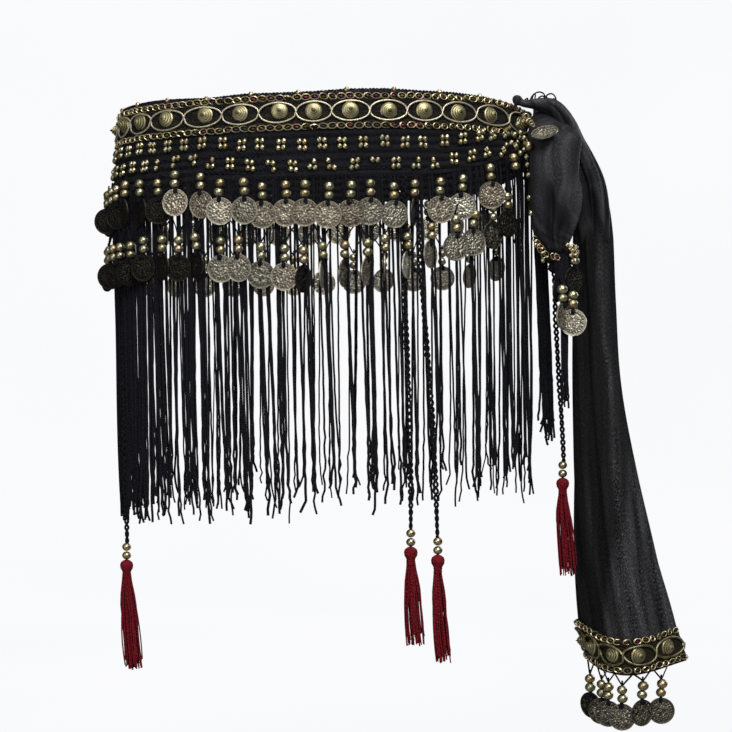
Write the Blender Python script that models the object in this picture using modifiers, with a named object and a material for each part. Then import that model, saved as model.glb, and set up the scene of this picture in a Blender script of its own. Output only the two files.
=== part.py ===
"""A belly dance hip scarf, as it is worn: a crocheted net belt with a studded braid, two rows of coins,
a long fringe, four tassels, and a scarf knotted at the hip with a long tail.

Metres, +Z up. The front faces -Y and the knot is at +X. The origin is the middle of the hips, at
mid-height of the braid.
"""

import math
import random

import bmesh
import bpy
import numpy as np
from mathutils import Vector

# The hips inside the belt: an ellipse seen from above, with angles from the front towards the knot.
HIP_HALF_WIDTH = 0.171
HIP_HALF_DEPTH = 0.115
FIRST_ANGLE = -290
LAST_ANGLE = 90
SEAM_GAP = 0.0003

# The belt sits a little higher at the knot, and its lower edge is gathered up towards the knot.
BELT_TILT = 0.03
GATHER_REACH = 0.13
GATHER_RISE = 0.022
GATHER_THREAD = 0.004

# The crocheted net belt, whose ends meet under the knot.
BELT_START = -278.0
BELT_END = 76.0
BELT_SEGMENTS = 60
BELT_TOP = 0.017
BELT_BOTTOM = -0.051
BELT_WALL = 0.002
RIB_OUT = 0.003
RIB_TOP = -0.015
RIB_COUNT = 3

# The braid: a chain along each edge, and eyes of wire with a cone stud in each.
BRAID_START = -258.0
BRAID_END = 60.0
BRAID_HALF = 0.0135
STUD_PITCH = 0.028
STUD_RADIUS = 0.0062
STUD_HEIGHT = 0.0072
CHAIN_OUT = 0.0026
WIRE_OUT = 0.0032
EYE_OUT = 0.0012

# Drops: two beads and a coin below a narrow strip. A strip has its lower edges so far out.
BEAD_HALF = 0.003
BEAD_PITCH = 0.0068
BEAD_WAIST = 0.0012
COIN_RADIUS = 0.0105
COIN_HALF_WALL = 0.0006
COIN_TURN = math.radians(8)
OCTAGON = math.sqrt(2) - 1
THREAD_HALF = 0.0007
STRIP_HEIGHT = 0.005
LONGEST_CHORD = 0.020
FRONT_COIN_PITCH = 0.0172
BACK_COIN_PITCH = 0.026
COIN_ROW_TOP = BELT_BOTTOM - 0.0007
UPPER_COIN_OUT = 0.008
UPPER_STRIP = (0.0062, 0.0098)
LOWER_COIN_OUT = 0.007
LOWER_STRIP = (0.0035, 0.0056)
LOWER_THREAD_OUT = 0.0042
LOWER_THREAD = 0.041
DROP_KNOT = 0.003
BEAD_TO_COIN = 0.001

# The fringe. Each range has its first and last hip angle.
FRONT_FRINGE = (-98, 66)
BACK_FRINGE = (-262, -99)
FRINGE_NEAR = 0.0002
FRINGE_STRIP = 0.005
FRINGE_STRIP_WALL = 0.0018
STRAND_HALF = 0.0011
STRAND_ROOT = 0.004
STRAND_LEAN = 0.0015
STRAND_SWAY = 0.16
HEM_RAGGEDNESS = 0.012
FRONT_STRAND_PITCH = 0.0062
BACK_STRAND_PITCH = 0.0076
FRONT_HEM = -0.305
FRONT_HEM_AT_KNOT = -0.276
BACK_HEM = -0.302
KNOT_FRINGE = ((0.1715, -0.036), (0.1855, -0.030))
KNOT_STRAND_PITCH = 0.0030
KNOT_FRINGE_TOP = -0.0225
KNOT_FRINGE_HEM = -0.262

# Where the rows of coins start and stop, as hip angles.
FRONT_COINS = (-92, 54)
BACK_COINS = (-252, -104)

# The scarf.
CLOTH_WALL = 0.0016
TAIL_POINTS = 20
TAIL_FOLDS = 2.5
HEM_BOTTOM = -0.430
HEM_STUDS = 5
HEM_STRIP = (0.001, 0.003)
HEM_STRIP_HEIGHT = 0.003
HEM_COIN_OUT = 0.002
HEM_COIN_THREAD = 0.005
HEM_COIN_PITCH = 0.021
HEM_COIN_MARGINS = (0.010, 0.014)

# A row for each section of the tail, from the knot down to the hem, in millimetres: its height, the hidden
# back edge, the fold at the left, the front, the right edge, and how deep the folds are.
TAIL_SECTIONS = (
    # height, back (x, y), left (x, y), front (x, y), right (x, y), folds
    (10, (206, -14), (198, -24), (201, -37), (208, -36), 0.0),
    (-12, (212, -8), (199, -20), (204, -39), (215, -36), 0.6),
    (-40, (218, -4), (201, -18), (207, -40), (221, -34), 1.0),
    (-90, (224, 0), (202, -14), (209, -39), (229, -30), 1.6),
    (-145, (226, 2), (202, -12), (212, -42), (232, -28), 2.4),
    (-210, (230, 6), (202, -8), (215, -44), (240, -28), 3.0),
    (-280, (236, 12), (202, -2), (220, -48), (256, -28), 3.0),
    (-350, (240, 18), (202, 6), (227, -54), (273, -29), 2.4),
    (-402, (243, 25), (205, 14), (236, -59), (291, -30), 0.0),
    (-430, (243, 25), (205, 14), (236, -59), (291, -30), 0.0),
)

# A row for each ring of a soft lump, in millimetres: its height, centre and half sizes.
KNOT_RINGS = (
    # height, (x, y), (half x, half y)
    (27, (173, -25), (7, 7)),
    (22, (175, -25), (14, 12)),
    (11, (176, -25), (18, 15)),
    (-2, (176, -25), (19, 16)),
    (-14, (176, -25), (16, 13)),
    (-21, (176, -26), (9, 8)),
)
SHORT_END_RINGS = (
    # height, (x, y), (half x, half y)
    (13, (183, -59), (7, 5)),
    (6, (183, -60), (14, 10)),
    (-10, (183, -61), (19, 14)),
    (-35, (182, -62), (21, 15)),
    (-65, (182, -62), (22, 16)),
    (-86, (182, -62), (19, 15)),
    (-99, (182, -62), (13, 11)),
    (-104, (182, -62), (7, 6)),
)
LUMP_SIDES = 21
CREASES = 7
CREASE_DEPTH = 0.11
CREASE_DRIFT = 0.35
SHORT_END_HALF = (0.016, 0.011)
SHORT_END_HEM = (-0.1047, -0.117)
SHORT_END_GAP = 0.004
SHORT_END_BULGE = 0.0026
SHORT_END_GROOVE = 0.0014
SHORT_END_SEGMENTS = 18
SHORT_END_STRIP = (0.0, 0.0024)
SHORT_END_COIN_OUT = 0.0015
SHORT_END_CLEARANCE = 0.0125
KNOT_CLEARANCE = RIB_OUT + 0.001

# A row for each drop at the hem of the scarf's short end: where it is round the hem, in degrees, and how long
# its thread is.
SHORT_END_DROPS = (
    # angle, thread
    (-60, 0.006),
    (-5, 0.013),
    (48, 0.018),
    (100, 0.004),
    (205, 0.010),
)

# A row for each tassel that hangs from the belt: its name, the hip angle of its cord, the height of the upper
# bead and the skirt's end. The last one hangs from the knot.
TASSELS = (
    # name, angle, bead, end
    ("left", -66, -0.338, -0.435),
    ("middle", 21, -0.3216, -0.407),
    ("right", 28, -0.328, -0.4195),
)
TASSEL_CORD_TOP = -0.057
CORD_OUT = 0.0034
KNOT_TASSEL = (0.1915, -0.0300)
KNOT_TASSEL_CORD_TOP = -0.024
KNOT_TASSEL_BEAD = -0.2737
KNOT_TASSEL_END = -0.362
CORD_RADIUS = 0.0013
CORD_SIDES = 5
CORD_WAIST = 0.0012
TASSEL_BEAD = 0.0034
TASSEL_SIDES = 8
TASSEL_CAP = 0.0014
TASSEL_HEAD = 0.0042
TASSEL_NECK = 0.0032
TASSEL_STRAND = 0.0011
BEAD_TO_HEAD = 0.0105

# A row for each level of a tassel's head: how far below its top it is, and its radius.
TASSEL_LEVELS = (
    # below the top, radius
    (0.0, TASSEL_CAP),
    (0.003, TASSEL_HEAD),
    (0.007, TASSEL_HEAD),
    (0.0095, TASSEL_NECK),
    (0.014, TASSEL_HEAD),
)
SKIRT_SHOULDER = 0.012
SKIRT_RADIUS = 0.0042
SKIRT_END_RADIUS = 0.0052
SKIRT_RAGGEDNESS = 0.006

MM = 0.001

# Each material: colour, roughness and metallic value.
MATERIALS = {
    "black_net": ((0.012, 0.012, 0.015), 0.85, 0.0),
    "black_fringe": ((0.010, 0.010, 0.013), 0.8, 0.0),
    "braid": ((0.45, 0.36, 0.16), 0.45, 0.8),
    "coin": ((0.36, 0.34, 0.30), 0.4, 1.0),
    "tassel_red": ((0.30, 0.008, 0.03), 0.6, 0.0),
    "scarf_cloth": ((0.02, 0.02, 0.023), 0.75, 0.0),
}


def clear_scene():
    for thing in list(bpy.data.objects):
        bpy.data.objects.remove(thing, do_unlink=True)


def make_collection():
    collection = bpy.data.collections.new("belly_dance_hip_scarf")
    bpy.context.scene.collection.children.link(collection)
    return collection


def make_material(name):
    colour, roughness, metallic = MATERIALS[name]
    material = bpy.data.materials.new(name)
    material.use_nodes = True
    shader = material.node_tree.nodes["Principled BSDF"]
    shader.inputs["Base Color"].default_value = (*colour, 1)
    shader.inputs["Roughness"].default_value = roughness
    shader.inputs["Metallic"].default_value = metallic
    material.diffuse_color = (*colour, 1)
    return material


def finish(name, mesh, material):
    """Makes the object of a mesh whose faces close."""
    bmesh.ops.recalc_face_normals(mesh, faces=mesh.faces)
    data = bpy.data.meshes.new(name)
    mesh.to_mesh(data)
    mesh.free()
    data.materials.append(material)
    data.shade_smooth()
    data.set_sharp_from_angle(angle=math.radians(40))
    piece = bpy.data.objects.new(name, data)
    bpy.data.collections["belly_dance_hip_scarf"].objects.link(piece)
    return piece


def follow(points):
    """A function that gives the point so far along a level path, out to its right and up."""
    path = np.array(points)
    steps = np.hypot(*np.diff(path, axis=0).T)
    distances = np.concatenate([[0], np.cumsum(steps)])
    along = np.gradient(path, distances, axis=0)
    outward = np.stack([along[:, 1], -along[:, 0]], axis=1)

    def place(distance, out, height):
        middle = [np.interp(distance, distances, path[:, i]) for i in range(2)]
        normal = Vector([np.interp(distance, distances, outward[:, i]) for i in range(2)]).normalized()
        return Vector((middle[0] + normal.x * out, middle[1] + normal.y * out, height))

    place.end = distances[-1]
    return place


def hip_path():
    angles = np.radians(np.arange(FIRST_ANGLE, LAST_ANGLE + 1))
    return np.stack([HIP_HALF_WIDTH * np.sin(angles), -HIP_HALF_DEPTH * np.cos(angles)], axis=1)


def hip_distance(degrees):
    """How far a hip angle is along the hip path from its beginning."""
    path = hip_path()
    steps = np.hypot(*np.diff(path, axis=0).T)
    angles = np.arange(FIRST_ANGLE, LAST_ANGLE + 1)
    return float(np.interp(degrees, angles, np.concatenate([[0], np.cumsum(steps)])))


def hips_place():
    """Places round the hips on the belt's own slant."""
    level = follow(hip_path())

    def place(distance, out, height):
        point = level(distance, out, height)
        point.z += BELT_TILT * point.x
        return point

    return place


def gathered(distance):
    """How far the belt is gathered up: 0 round the hips and 1 at either end, under the knot."""
    to_end = min(distance - hip_distance(BELT_START), hip_distance(BELT_END) - distance)
    share = max(0, 1 - to_end / GATHER_REACH)
    return share * share * (3 - 2 * share)


def wall_faces(mesh, ring, lower):
    """The faces between two closed rings of vertices."""
    for i in range(len(ring)):
        j = (i + 1) % len(ring)
        mesh.faces.new((ring[i], ring[j], lower[j], lower[i]))


def grow(mesh, root, sections):
    """Walls from a root ring of vertices down through the sections, closed at the end."""
    ring = list(root)
    for section in sections:
        lower = [mesh.verts.new(point) for point in section]
        wall_faces(mesh, ring, lower)
        ring = lower
    mesh.faces.new(ring)


def loft(mesh, sections):
    """A closed body through sections of the same number of points."""
    root = [mesh.verts.new(point) for point in sections[0]]
    grow(mesh, root, sections[1:])
    mesh.faces.new(root)


def net_belt(place, material):
    """The crocheted wall round the hips, with a few rounded ribs under the braid."""
    sections = []
    for distance in np.linspace(hip_distance(BELT_START), hip_distance(BELT_END), BELT_SEGMENTS + 1):
        bottom = BELT_BOTTOM + GATHER_RISE * gathered(distance)
        rib_step = (RIB_TOP - bottom) / (2 * RIB_COUNT)
        profile = [(0, bottom), (0, BELT_TOP), (BELT_WALL, BELT_TOP), (BELT_WALL, RIB_TOP)]
        for rib in range(2 * RIB_COUNT):
            profile.append((RIB_OUT if rib % 2 == 0 else BELT_WALL, RIB_TOP - rib_step * (rib + 1)))
        sections.append([place(distance, out, height) for out, height in profile])
    mesh = bmesh.new()
    loft(mesh, sections)
    return finish("belt_net", mesh, material)


def braid_column(step, pitch, middle):
    """One of the four columns of a stud: points from the lower chain up to the upper one, and back inside.

    Each point is a distance along, out and up. Column 0 is where two eyes meet, and 2 is the stud's middle.
    """
    slant = STUD_RADIUS / math.sqrt(2)
    along, rim_along, rim_up, wire_up, peak_along, peak = (
        (-pitch / 2, -pitch / 2, 0.0009, 0.0024, -pitch / 2, EYE_OUT),
        (-pitch / 4, -slant, slant, 0.0086, -STUD_RADIUS, EYE_OUT),
        (0, 0, STUD_RADIUS, 0.0102, 0, STUD_HEIGHT),
        (pitch / 4, slant, slant, 0.0086, STUD_RADIUS, EYE_OUT),
    )[step]
    rows = (
        (along, CHAIN_OUT, -BRAID_HALF),
        (along, WIRE_OUT, -wire_up),
        (rim_along, EYE_OUT, -rim_up),
        (peak_along, peak, 0),
        (rim_along, EYE_OUT, rim_up),
        (along, WIRE_OUT, wire_up),
        (along, CHAIN_OUT, BRAID_HALF),
        (along, 0, BRAID_HALF),
        (along, 0, -BRAID_HALF),
    )
    return [(middle + along, out, up) for along, out, up in rows]


def studded_braid(name, place, start, end, studs, out, height, material):
    """A braid along a path with a cone stud in each eye. Its inner face is out from the path."""
    pitch = (end - start) / studs
    mesh = bmesh.new()
    columns = []
    peaks = []
    for number in range(4 * studs + 1):
        middle = start + pitch * (number // 4 + 0.5)
        points = braid_column(number % 4, pitch, middle)
        columns.append([mesh.verts.new(place(along, out + away, height + up)) for along, away, up in points])
        peaks.append(columns[-1][3] if number % 4 == 2 else None)
    for (left, right), (left_peak, right_peak) in zip(zip(columns, columns[1:]), zip(peaks, peaks[1:])):
        peak = left_peak or right_peak
        for i in range(len(left)):
            j = (i + 1) % len(left)
            corners = [left[i], left[j], right[j], right[i]]
            if peak in corners:
                turn = corners.index(peak)
                first, second, third, fourth = corners[turn:] + corners[:turn]
                mesh.faces.new((first, second, third))
                mesh.faces.new((first, third, fourth))
            else:
                mesh.faces.new(corners)
    mesh.faces.new(columns[0])
    mesh.faces.new(columns[-1])
    return finish(name, mesh, material)


def square(place, distance, out, height, half_along, half_out, turn=0.0):
    """Four corners of a level section, from the outer left one round the inner side."""
    corners = []
    for along, away in ((-1, 1), (-1, -1), (1, -1), (1, 1)):
        across = along * half_along
        deep = away * half_out
        shift = across * math.cos(turn) - deep * math.sin(turn)
        lift = across * math.sin(turn) + deep * math.cos(turn)
        corners.append(place(distance + shift, out + lift, height))
    return corners


def drop_sections(place, distance, out, height, turn):
    """Two beads and a coin, hung from the height given."""
    sections = []
    for half in (BEAD_HALF, BEAD_WAIST, BEAD_HALF):
        height -= BEAD_PITCH / 2
        sections.append(square(place, distance, out, height, half, half))
    height -= BEAD_PITCH / 2 + BEAD_TO_COIN
    for half, step in (
        (OCTAGON, 1 - OCTAGON),
        (1, 2 * OCTAGON),
        (1, 1 - OCTAGON),
        (OCTAGON, 0),
    ):
        sections.append(
            square(place, distance, out, height, half * COIN_RADIUS, COIN_HALF_WALL, turn)
        )
        height -= step * COIN_RADIUS
    return sections


def level_edge(distance):
    return 0


def belt_edge(distance):
    """How far the belt's lower edge is gathered up here."""
    return GATHER_RISE * gathered(distance)


def hang_drops(mesh, place, drops, strip, top, bottom, ends, rise=level_edge):
    """A narrow three-sided strip with a root for each drop, and the drops below it.

    strip is how far out its lower edges are, and ends are where it starts and stops. Each drop is its
    distance along and its sections.
    """
    near, far = strip
    cuts = [ends[0]]
    roots = {}
    for distance, sections in drops:
        gap = distance - THREAD_HALF - cuts[-1]
        if gap > LONGEST_CHORD:
            cuts.append(cuts[-1] + gap / 2)
        roots[len(cuts)] = sections
        cuts += [distance - THREAD_HALF, distance + THREAD_HALF]
    cuts.append(ends[1])
    outer = [mesh.verts.new(place(cut, far, bottom + rise(cut))) for cut in cuts]
    inner = [mesh.verts.new(place(cut, near, bottom + rise(cut))) for cut in cuts]
    upper = [mesh.verts.new(place(cut, near, top + rise(cut))) for cut in cuts]
    for i in range(len(cuts) - 1):
        mesh.faces.new((outer[i], outer[i + 1], upper[i + 1], upper[i]))
        mesh.faces.new((inner[i + 1], inner[i], upper[i], upper[i + 1]))
        root = (outer[i], inner[i], inner[i + 1], outer[i + 1])
        if i in roots:
            grow(mesh, root, roots[i])
        else:
            mesh.faces.new(root)
    mesh.faces.new((outer[0], inner[0], upper[0]))
    mesh.faces.new((outer[-1], inner[-1], upper[-1]))


def spaced(start, end, pitch):
    """Distances from start to end, spaced as near the pitch as they can be."""
    count = round((end - start) / pitch)
    return [start + (end - start) * i / count for i in range(count + 1)]


def between(distances):
    return [(first + second) / 2 for first, second in zip(distances, distances[1:])]


def upper_coins(name, place, distances, material):
    mesh = bmesh.new()
    drops = []
    for distance in distances:
        root = COIN_ROW_TOP + belt_edge(distance)
        drops.append((distance, drop_sections(place, distance, UPPER_COIN_OUT, root, COIN_TURN)))
    ends = (distances[0] - STRIP_HEIGHT, distances[-1] + STRIP_HEIGHT)
    top = COIN_ROW_TOP + STRIP_HEIGHT
    hang_drops(mesh, place, drops, UPPER_STRIP, top, COIN_ROW_TOP, ends, belt_edge)
    return finish(name, mesh, material)


def lower_coins(name, place, distances, material):
    """The second row, on long threads that pass between the drops of the first one."""
    mesh = bmesh.new()
    drops = []
    for distance in distances:
        low = COIN_ROW_TOP - LOWER_THREAD + belt_edge(distance) + GATHER_THREAD * gathered(distance)
        sections = [
            square(place, distance, LOWER_THREAD_OUT, low, THREAD_HALF, THREAD_HALF),
            *drop_sections(place, distance, LOWER_COIN_OUT, low - DROP_KNOT, COIN_TURN),
        ]
        drops.append((distance, sections))
    ends = (distances[0] - STRIP_HEIGHT, distances[-1] + STRIP_HEIGHT)
    top = COIN_ROW_TOP + STRIP_HEIGHT
    hang_drops(mesh, place, drops, LOWER_STRIP, top, COIN_ROW_TOP, ends, belt_edge)
    return finish(name, mesh, material)


def strand_sections(place, distance, out, levels):
    """Three-sided sections of a strand: each level is a height, a shift along and a half width."""
    return [
        (
            place(distance + shift - half, out + half / 2, height),
            place(distance + shift, out - half, height),
            place(distance + shift + half, out + half / 2, height),
        )
        for height, shift, half in levels
    ]


def fringe(name, place, ends, pitch, top, near, hems, chance, material, rise=level_edge):
    """A narrow strip with a strand below each stretch of it.

    hems are the heights of the strands' ends up to the strip's middle and at its far end.
    """
    start, end = ends
    count = round((end - start) / pitch)
    pitch = (end - start) / count
    mesh = bmesh.new()
    bottom = top - FRINGE_STRIP
    middle = near + FRINGE_STRIP_WALL / 2
    cuts = [start + pitch * i for i in range(count + 1)]
    outer = [mesh.verts.new(place(cut, near + FRINGE_STRIP_WALL, bottom + rise(cut))) for cut in cuts]
    inner = [mesh.verts.new(place(cut, near, bottom + rise(cut))) for cut in cuts]
    upper = [mesh.verts.new(place(cut, middle, top + rise(cut))) for cut in cuts]
    for i in range(count):
        mesh.faces.new((outer[i], outer[i + 1], upper[i + 1], upper[i]))
        mesh.faces.new((inner[i + 1], inner[i], upper[i], upper[i + 1]))
        mesh.faces.new((inner[i], inner[i + 1], outer[i + 1]))
        past_middle = max(0, 2 * i / count - 1)
        hem = hems[0] + (hems[1] - hems[0]) * past_middle
        low = hem + chance.uniform(-HEM_RAGGEDNESS, HEM_RAGGEDNESS)
        sway = chance.uniform(-STRAND_SWAY, STRAND_SWAY) * pitch
        levels = (
            (bottom + rise(cuts[i]) - STRAND_ROOT, 0, STRAND_HALF),
            ((bottom + low) / 2, sway, STRAND_HALF),
            (low, STRAND_LEAN - sway, STRAND_HALF * 0.7),
        )
        sections = strand_sections(place, cuts[i] + pitch / 2, middle, levels)
        grow(mesh, (outer[i], inner[i], outer[i + 1]), sections)
    mesh.faces.new((outer[0], inner[0], upper[0]))
    mesh.faces.new((outer[-1], inner[-1], upper[-1]))
    return finish(name, mesh, material)


def outside_hips(x, y, clearance):
    """The point, pushed straight out from the middle where it is nearer the hips than the clearance."""
    reach = math.hypot(x / (HIP_HALF_WIDTH + clearance), y / (HIP_HALF_DEPTH + clearance))
    return (x / min(reach, 1), y / min(reach, 1))


def lump(name, rings, clearance, material):
    """Gathered cloth with soft creases that run down and drift round it."""
    mesh = bmesh.new()
    sections = []
    for number, (height, (x, y), (half_x, half_y)) in enumerate(rings):
        section = []
        for side in range(LUMP_SIDES):
            turn = 2 * math.pi * side / LUMP_SIDES
            reach = 1 + CREASE_DEPTH * math.cos(CREASES * turn + CREASE_DRIFT * number)
            across = (x + half_x * reach * math.cos(turn)) * MM
            deep = (y + half_y * reach * math.sin(turn)) * MM
            section.append((*outside_hips(across, deep, clearance), height * MM))
        sections.append(section)
    loft(mesh, sections)
    return finish(name, mesh, material)


def smooth_through(points, count):
    """Points on a smooth curve through a few points."""
    ends = [2 * points[0] - points[1], *points, 2 * points[-1] - points[-2]]
    curve = []
    for number in range(count):
        where = number / (count - 1) * (len(points) - 1)
        first = min(int(where), len(points) - 2)
        t = where - first
        a, b, c, d = ends[first : first + 4]
        curve.append(
            0.5 * (2 * b + (c - a) * t + (2 * a - 5 * b + 4 * c - d) * t**2 + (3 * b - a - 3 * c + d) * t**3)
        )
    return curve


def tail_plan(row, count=TAIL_POINTS):
    """The tail's section from above, from its hidden back edge round the left fold to its right edge."""
    back, left, front, right, folds = row[1:]
    points = [Vector(point) * MM for point in (back, left, front, right)]
    curve = smooth_through(points, count)
    place = follow([tuple(point) for point in curve])
    section = []
    for number in range(count):
        share = number / (count - 1)
        wave = folds * MM * math.sin(2 * math.pi * TAIL_FOLDS * share) * math.sin(math.pi * share)
        section.append(place(place.end * share, wave, row[0] * MM))
    return section


def scarf_tail(material):
    """The long end of the scarf: an open sheet with a few folds, given its wall by Solidify."""
    mesh = bmesh.new()
    rows = [[mesh.verts.new(point) for point in tail_plan(row)] for row in TAIL_SECTIONS]
    for upper, lower in zip(rows, rows[1:]):
        for i in range(TAIL_POINTS - 1):
            mesh.faces.new((upper[i], lower[i], lower[i + 1], upper[i + 1]))
    piece = finish("scarf_tail", mesh, material)
    wall = piece.modifiers.new("wall", "SOLIDIFY")
    wall.thickness = CLOTH_WALL
    wall.offset = 0
    return piece


def hem_place():
    """Places along the tail's hem, from its left fold to its right edge."""
    points = [tuple(point.xy) for point in tail_plan(TAIL_SECTIONS[-1], 4 * TAIL_POINTS)]
    return follow(points[len(points) // 4 :])


def tail_hem(material):
    place = hem_place()
    out = CLOTH_WALL / 2 + SEAM_GAP
    middle = HEM_BOTTOM + BRAID_HALF
    return studded_braid("tail_hem_braid", place, 0.002, place.end - 0.001, HEM_STUDS, out, middle, material)


def tail_coins(material):
    """Drops below the tail's hem."""
    place = hem_place()
    top = HEM_BOTTOM - SEAM_GAP
    bottom = top - HEM_STRIP_HEIGHT
    mesh = bmesh.new()
    drops = []
    for distance in spaced(HEM_COIN_MARGINS[0], place.end - HEM_COIN_MARGINS[1], HEM_COIN_PITCH):
        low = bottom - HEM_COIN_THREAD
        sections = [
            square(place, distance, HEM_COIN_OUT, low, THREAD_HALF, THREAD_HALF),
            *drop_sections(place, distance, HEM_COIN_OUT, low - DROP_KNOT, COIN_TURN),
        ]
        drops.append((distance, sections))
    hang_drops(mesh, place, drops, HEM_STRIP, top, bottom, (THREAD_HALF, place.end - THREAD_HALF))
    return finish("tail_coins", mesh, material)


def oval_place(centre, half_sizes):
    """Places round a small oval, from its front, towards +X."""
    angles = np.radians(np.arange(-181, 182, 6))
    x = centre[0] * MM + half_sizes[0] * np.sin(angles)
    y = centre[1] * MM - half_sizes[1] * np.cos(angles)
    return follow(np.stack([x, y], axis=1))


def short_end_hem(material):
    """The gathered braid under the scarf's short end, open at the back."""
    place = oval_place(SHORT_END_RINGS[-1][1], SHORT_END_HALF)
    top, bottom = SHORT_END_HEM
    profile = (
        (0, top),
        (SHORT_END_BULGE, top),
        (SHORT_END_GROOVE, (top + bottom) / 2),
        (SHORT_END_BULGE, bottom),
        (0, bottom),
    )
    distances = np.linspace(SHORT_END_GAP, place.end - SHORT_END_GAP, SHORT_END_SEGMENTS + 1)
    mesh = bmesh.new()
    loft(mesh, [[place(distance, out, height) for out, height in profile] for distance in distances])
    return finish("short_end_braid", mesh, material)


def short_end_coins(material):
    place = oval_place(SHORT_END_RINGS[-1][1], SHORT_END_HALF)
    top = SHORT_END_HEM[1] - SEAM_GAP
    bottom = top - HEM_STRIP_HEIGHT
    mesh = bmesh.new()
    drops = []
    for angle, thread in SHORT_END_DROPS:
        distance = place.end * ((angle + 180) % 360) / 360
        low = bottom - thread
        sections = [
            square(place, distance, SHORT_END_COIN_OUT, low, THREAD_HALF, THREAD_HALF),
            *drop_sections(place, distance, SHORT_END_COIN_OUT, low - DROP_KNOT, 0),
        ]
        drops.append((distance, sections))
    drops.sort(key=lambda drop: drop[0])
    ends = (SHORT_END_GAP, place.end - SHORT_END_GAP)
    hang_drops(mesh, place, drops, SHORT_END_STRIP, top, bottom, ends)
    return finish("short_end_coins", mesh, material)


def round_section(x, y, height, radius, sides):
    turns = [2 * math.pi * (side + 0.5) / sides for side in range(sides)]
    return [(x + radius * math.cos(turn), y + radius * math.sin(turn), height) for turn in turns]


def tassel_cord(name, x, y, top, bead, material):
    """A crocheted cord with two beads at its lower end."""
    levels = [(top, CORD_RADIUS), (bead + BEAD_PITCH, CORD_RADIUS)]
    for number in range(2):
        middle = bead - number * BEAD_PITCH
        levels += [(middle + BEAD_HALF, CORD_WAIST), (middle, TASSEL_BEAD)]
    levels.append((bead - 1.5 * BEAD_PITCH, CORD_WAIST))
    mesh = bmesh.new()
    loft(mesh, [round_section(x, y, height, radius, CORD_SIDES) for height, radius in levels])
    return finish(f"tassel_cord_{name}", mesh, material)


def strand_triangle(x, y, height, reach, turn):
    """A three-sided section of a skirt's strand, so far from the tassel's axis."""
    middle_x = x + reach * math.cos(turn)
    middle_y = y + reach * math.sin(turn)
    corners = [turn + math.pi * (1 + 2 * corner / 3) for corner in range(3)]
    return [
        (middle_x + TASSEL_STRAND * math.cos(corner), middle_y + TASSEL_STRAND * math.sin(corner), height)
        for corner in corners
    ]


def tassel(name, x, y, bead, end, chance, material):
    """A bound head over a skirt of strands, which are rooted in the head's underside."""
    head_top = bead - BEAD_TO_HEAD
    mesh = bmesh.new()
    rings = [
        [mesh.verts.new(point) for point in round_section(x, y, head_top - below, radius, TASSEL_SIDES)]
        for below, radius in TASSEL_LEVELS
    ]
    for ring, lower in zip(rings, rings[1:]):
        wall_faces(mesh, ring, lower)
    mesh.faces.new(rings[0])
    root = head_top - TASSEL_LEVELS[-1][0]
    centre = mesh.verts.new((x, y, root))
    for side in range(TASSEL_SIDES):
        turn = 2 * math.pi * (side + 1) / TASSEL_SIDES
        low = end + chance.uniform(0, SKIRT_RAGGEDNESS)
        sections = (
            strand_triangle(x, y, root - SKIRT_SHOULDER, SKIRT_RADIUS, turn),
            strand_triangle(x, y, low, SKIRT_END_RADIUS, turn),
        )
        grow(mesh, (centre, rings[-1][side], rings[-1][(side + 1) % TASSEL_SIDES]), sections)
    return finish(f"tassel_{name}", mesh, material)


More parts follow.
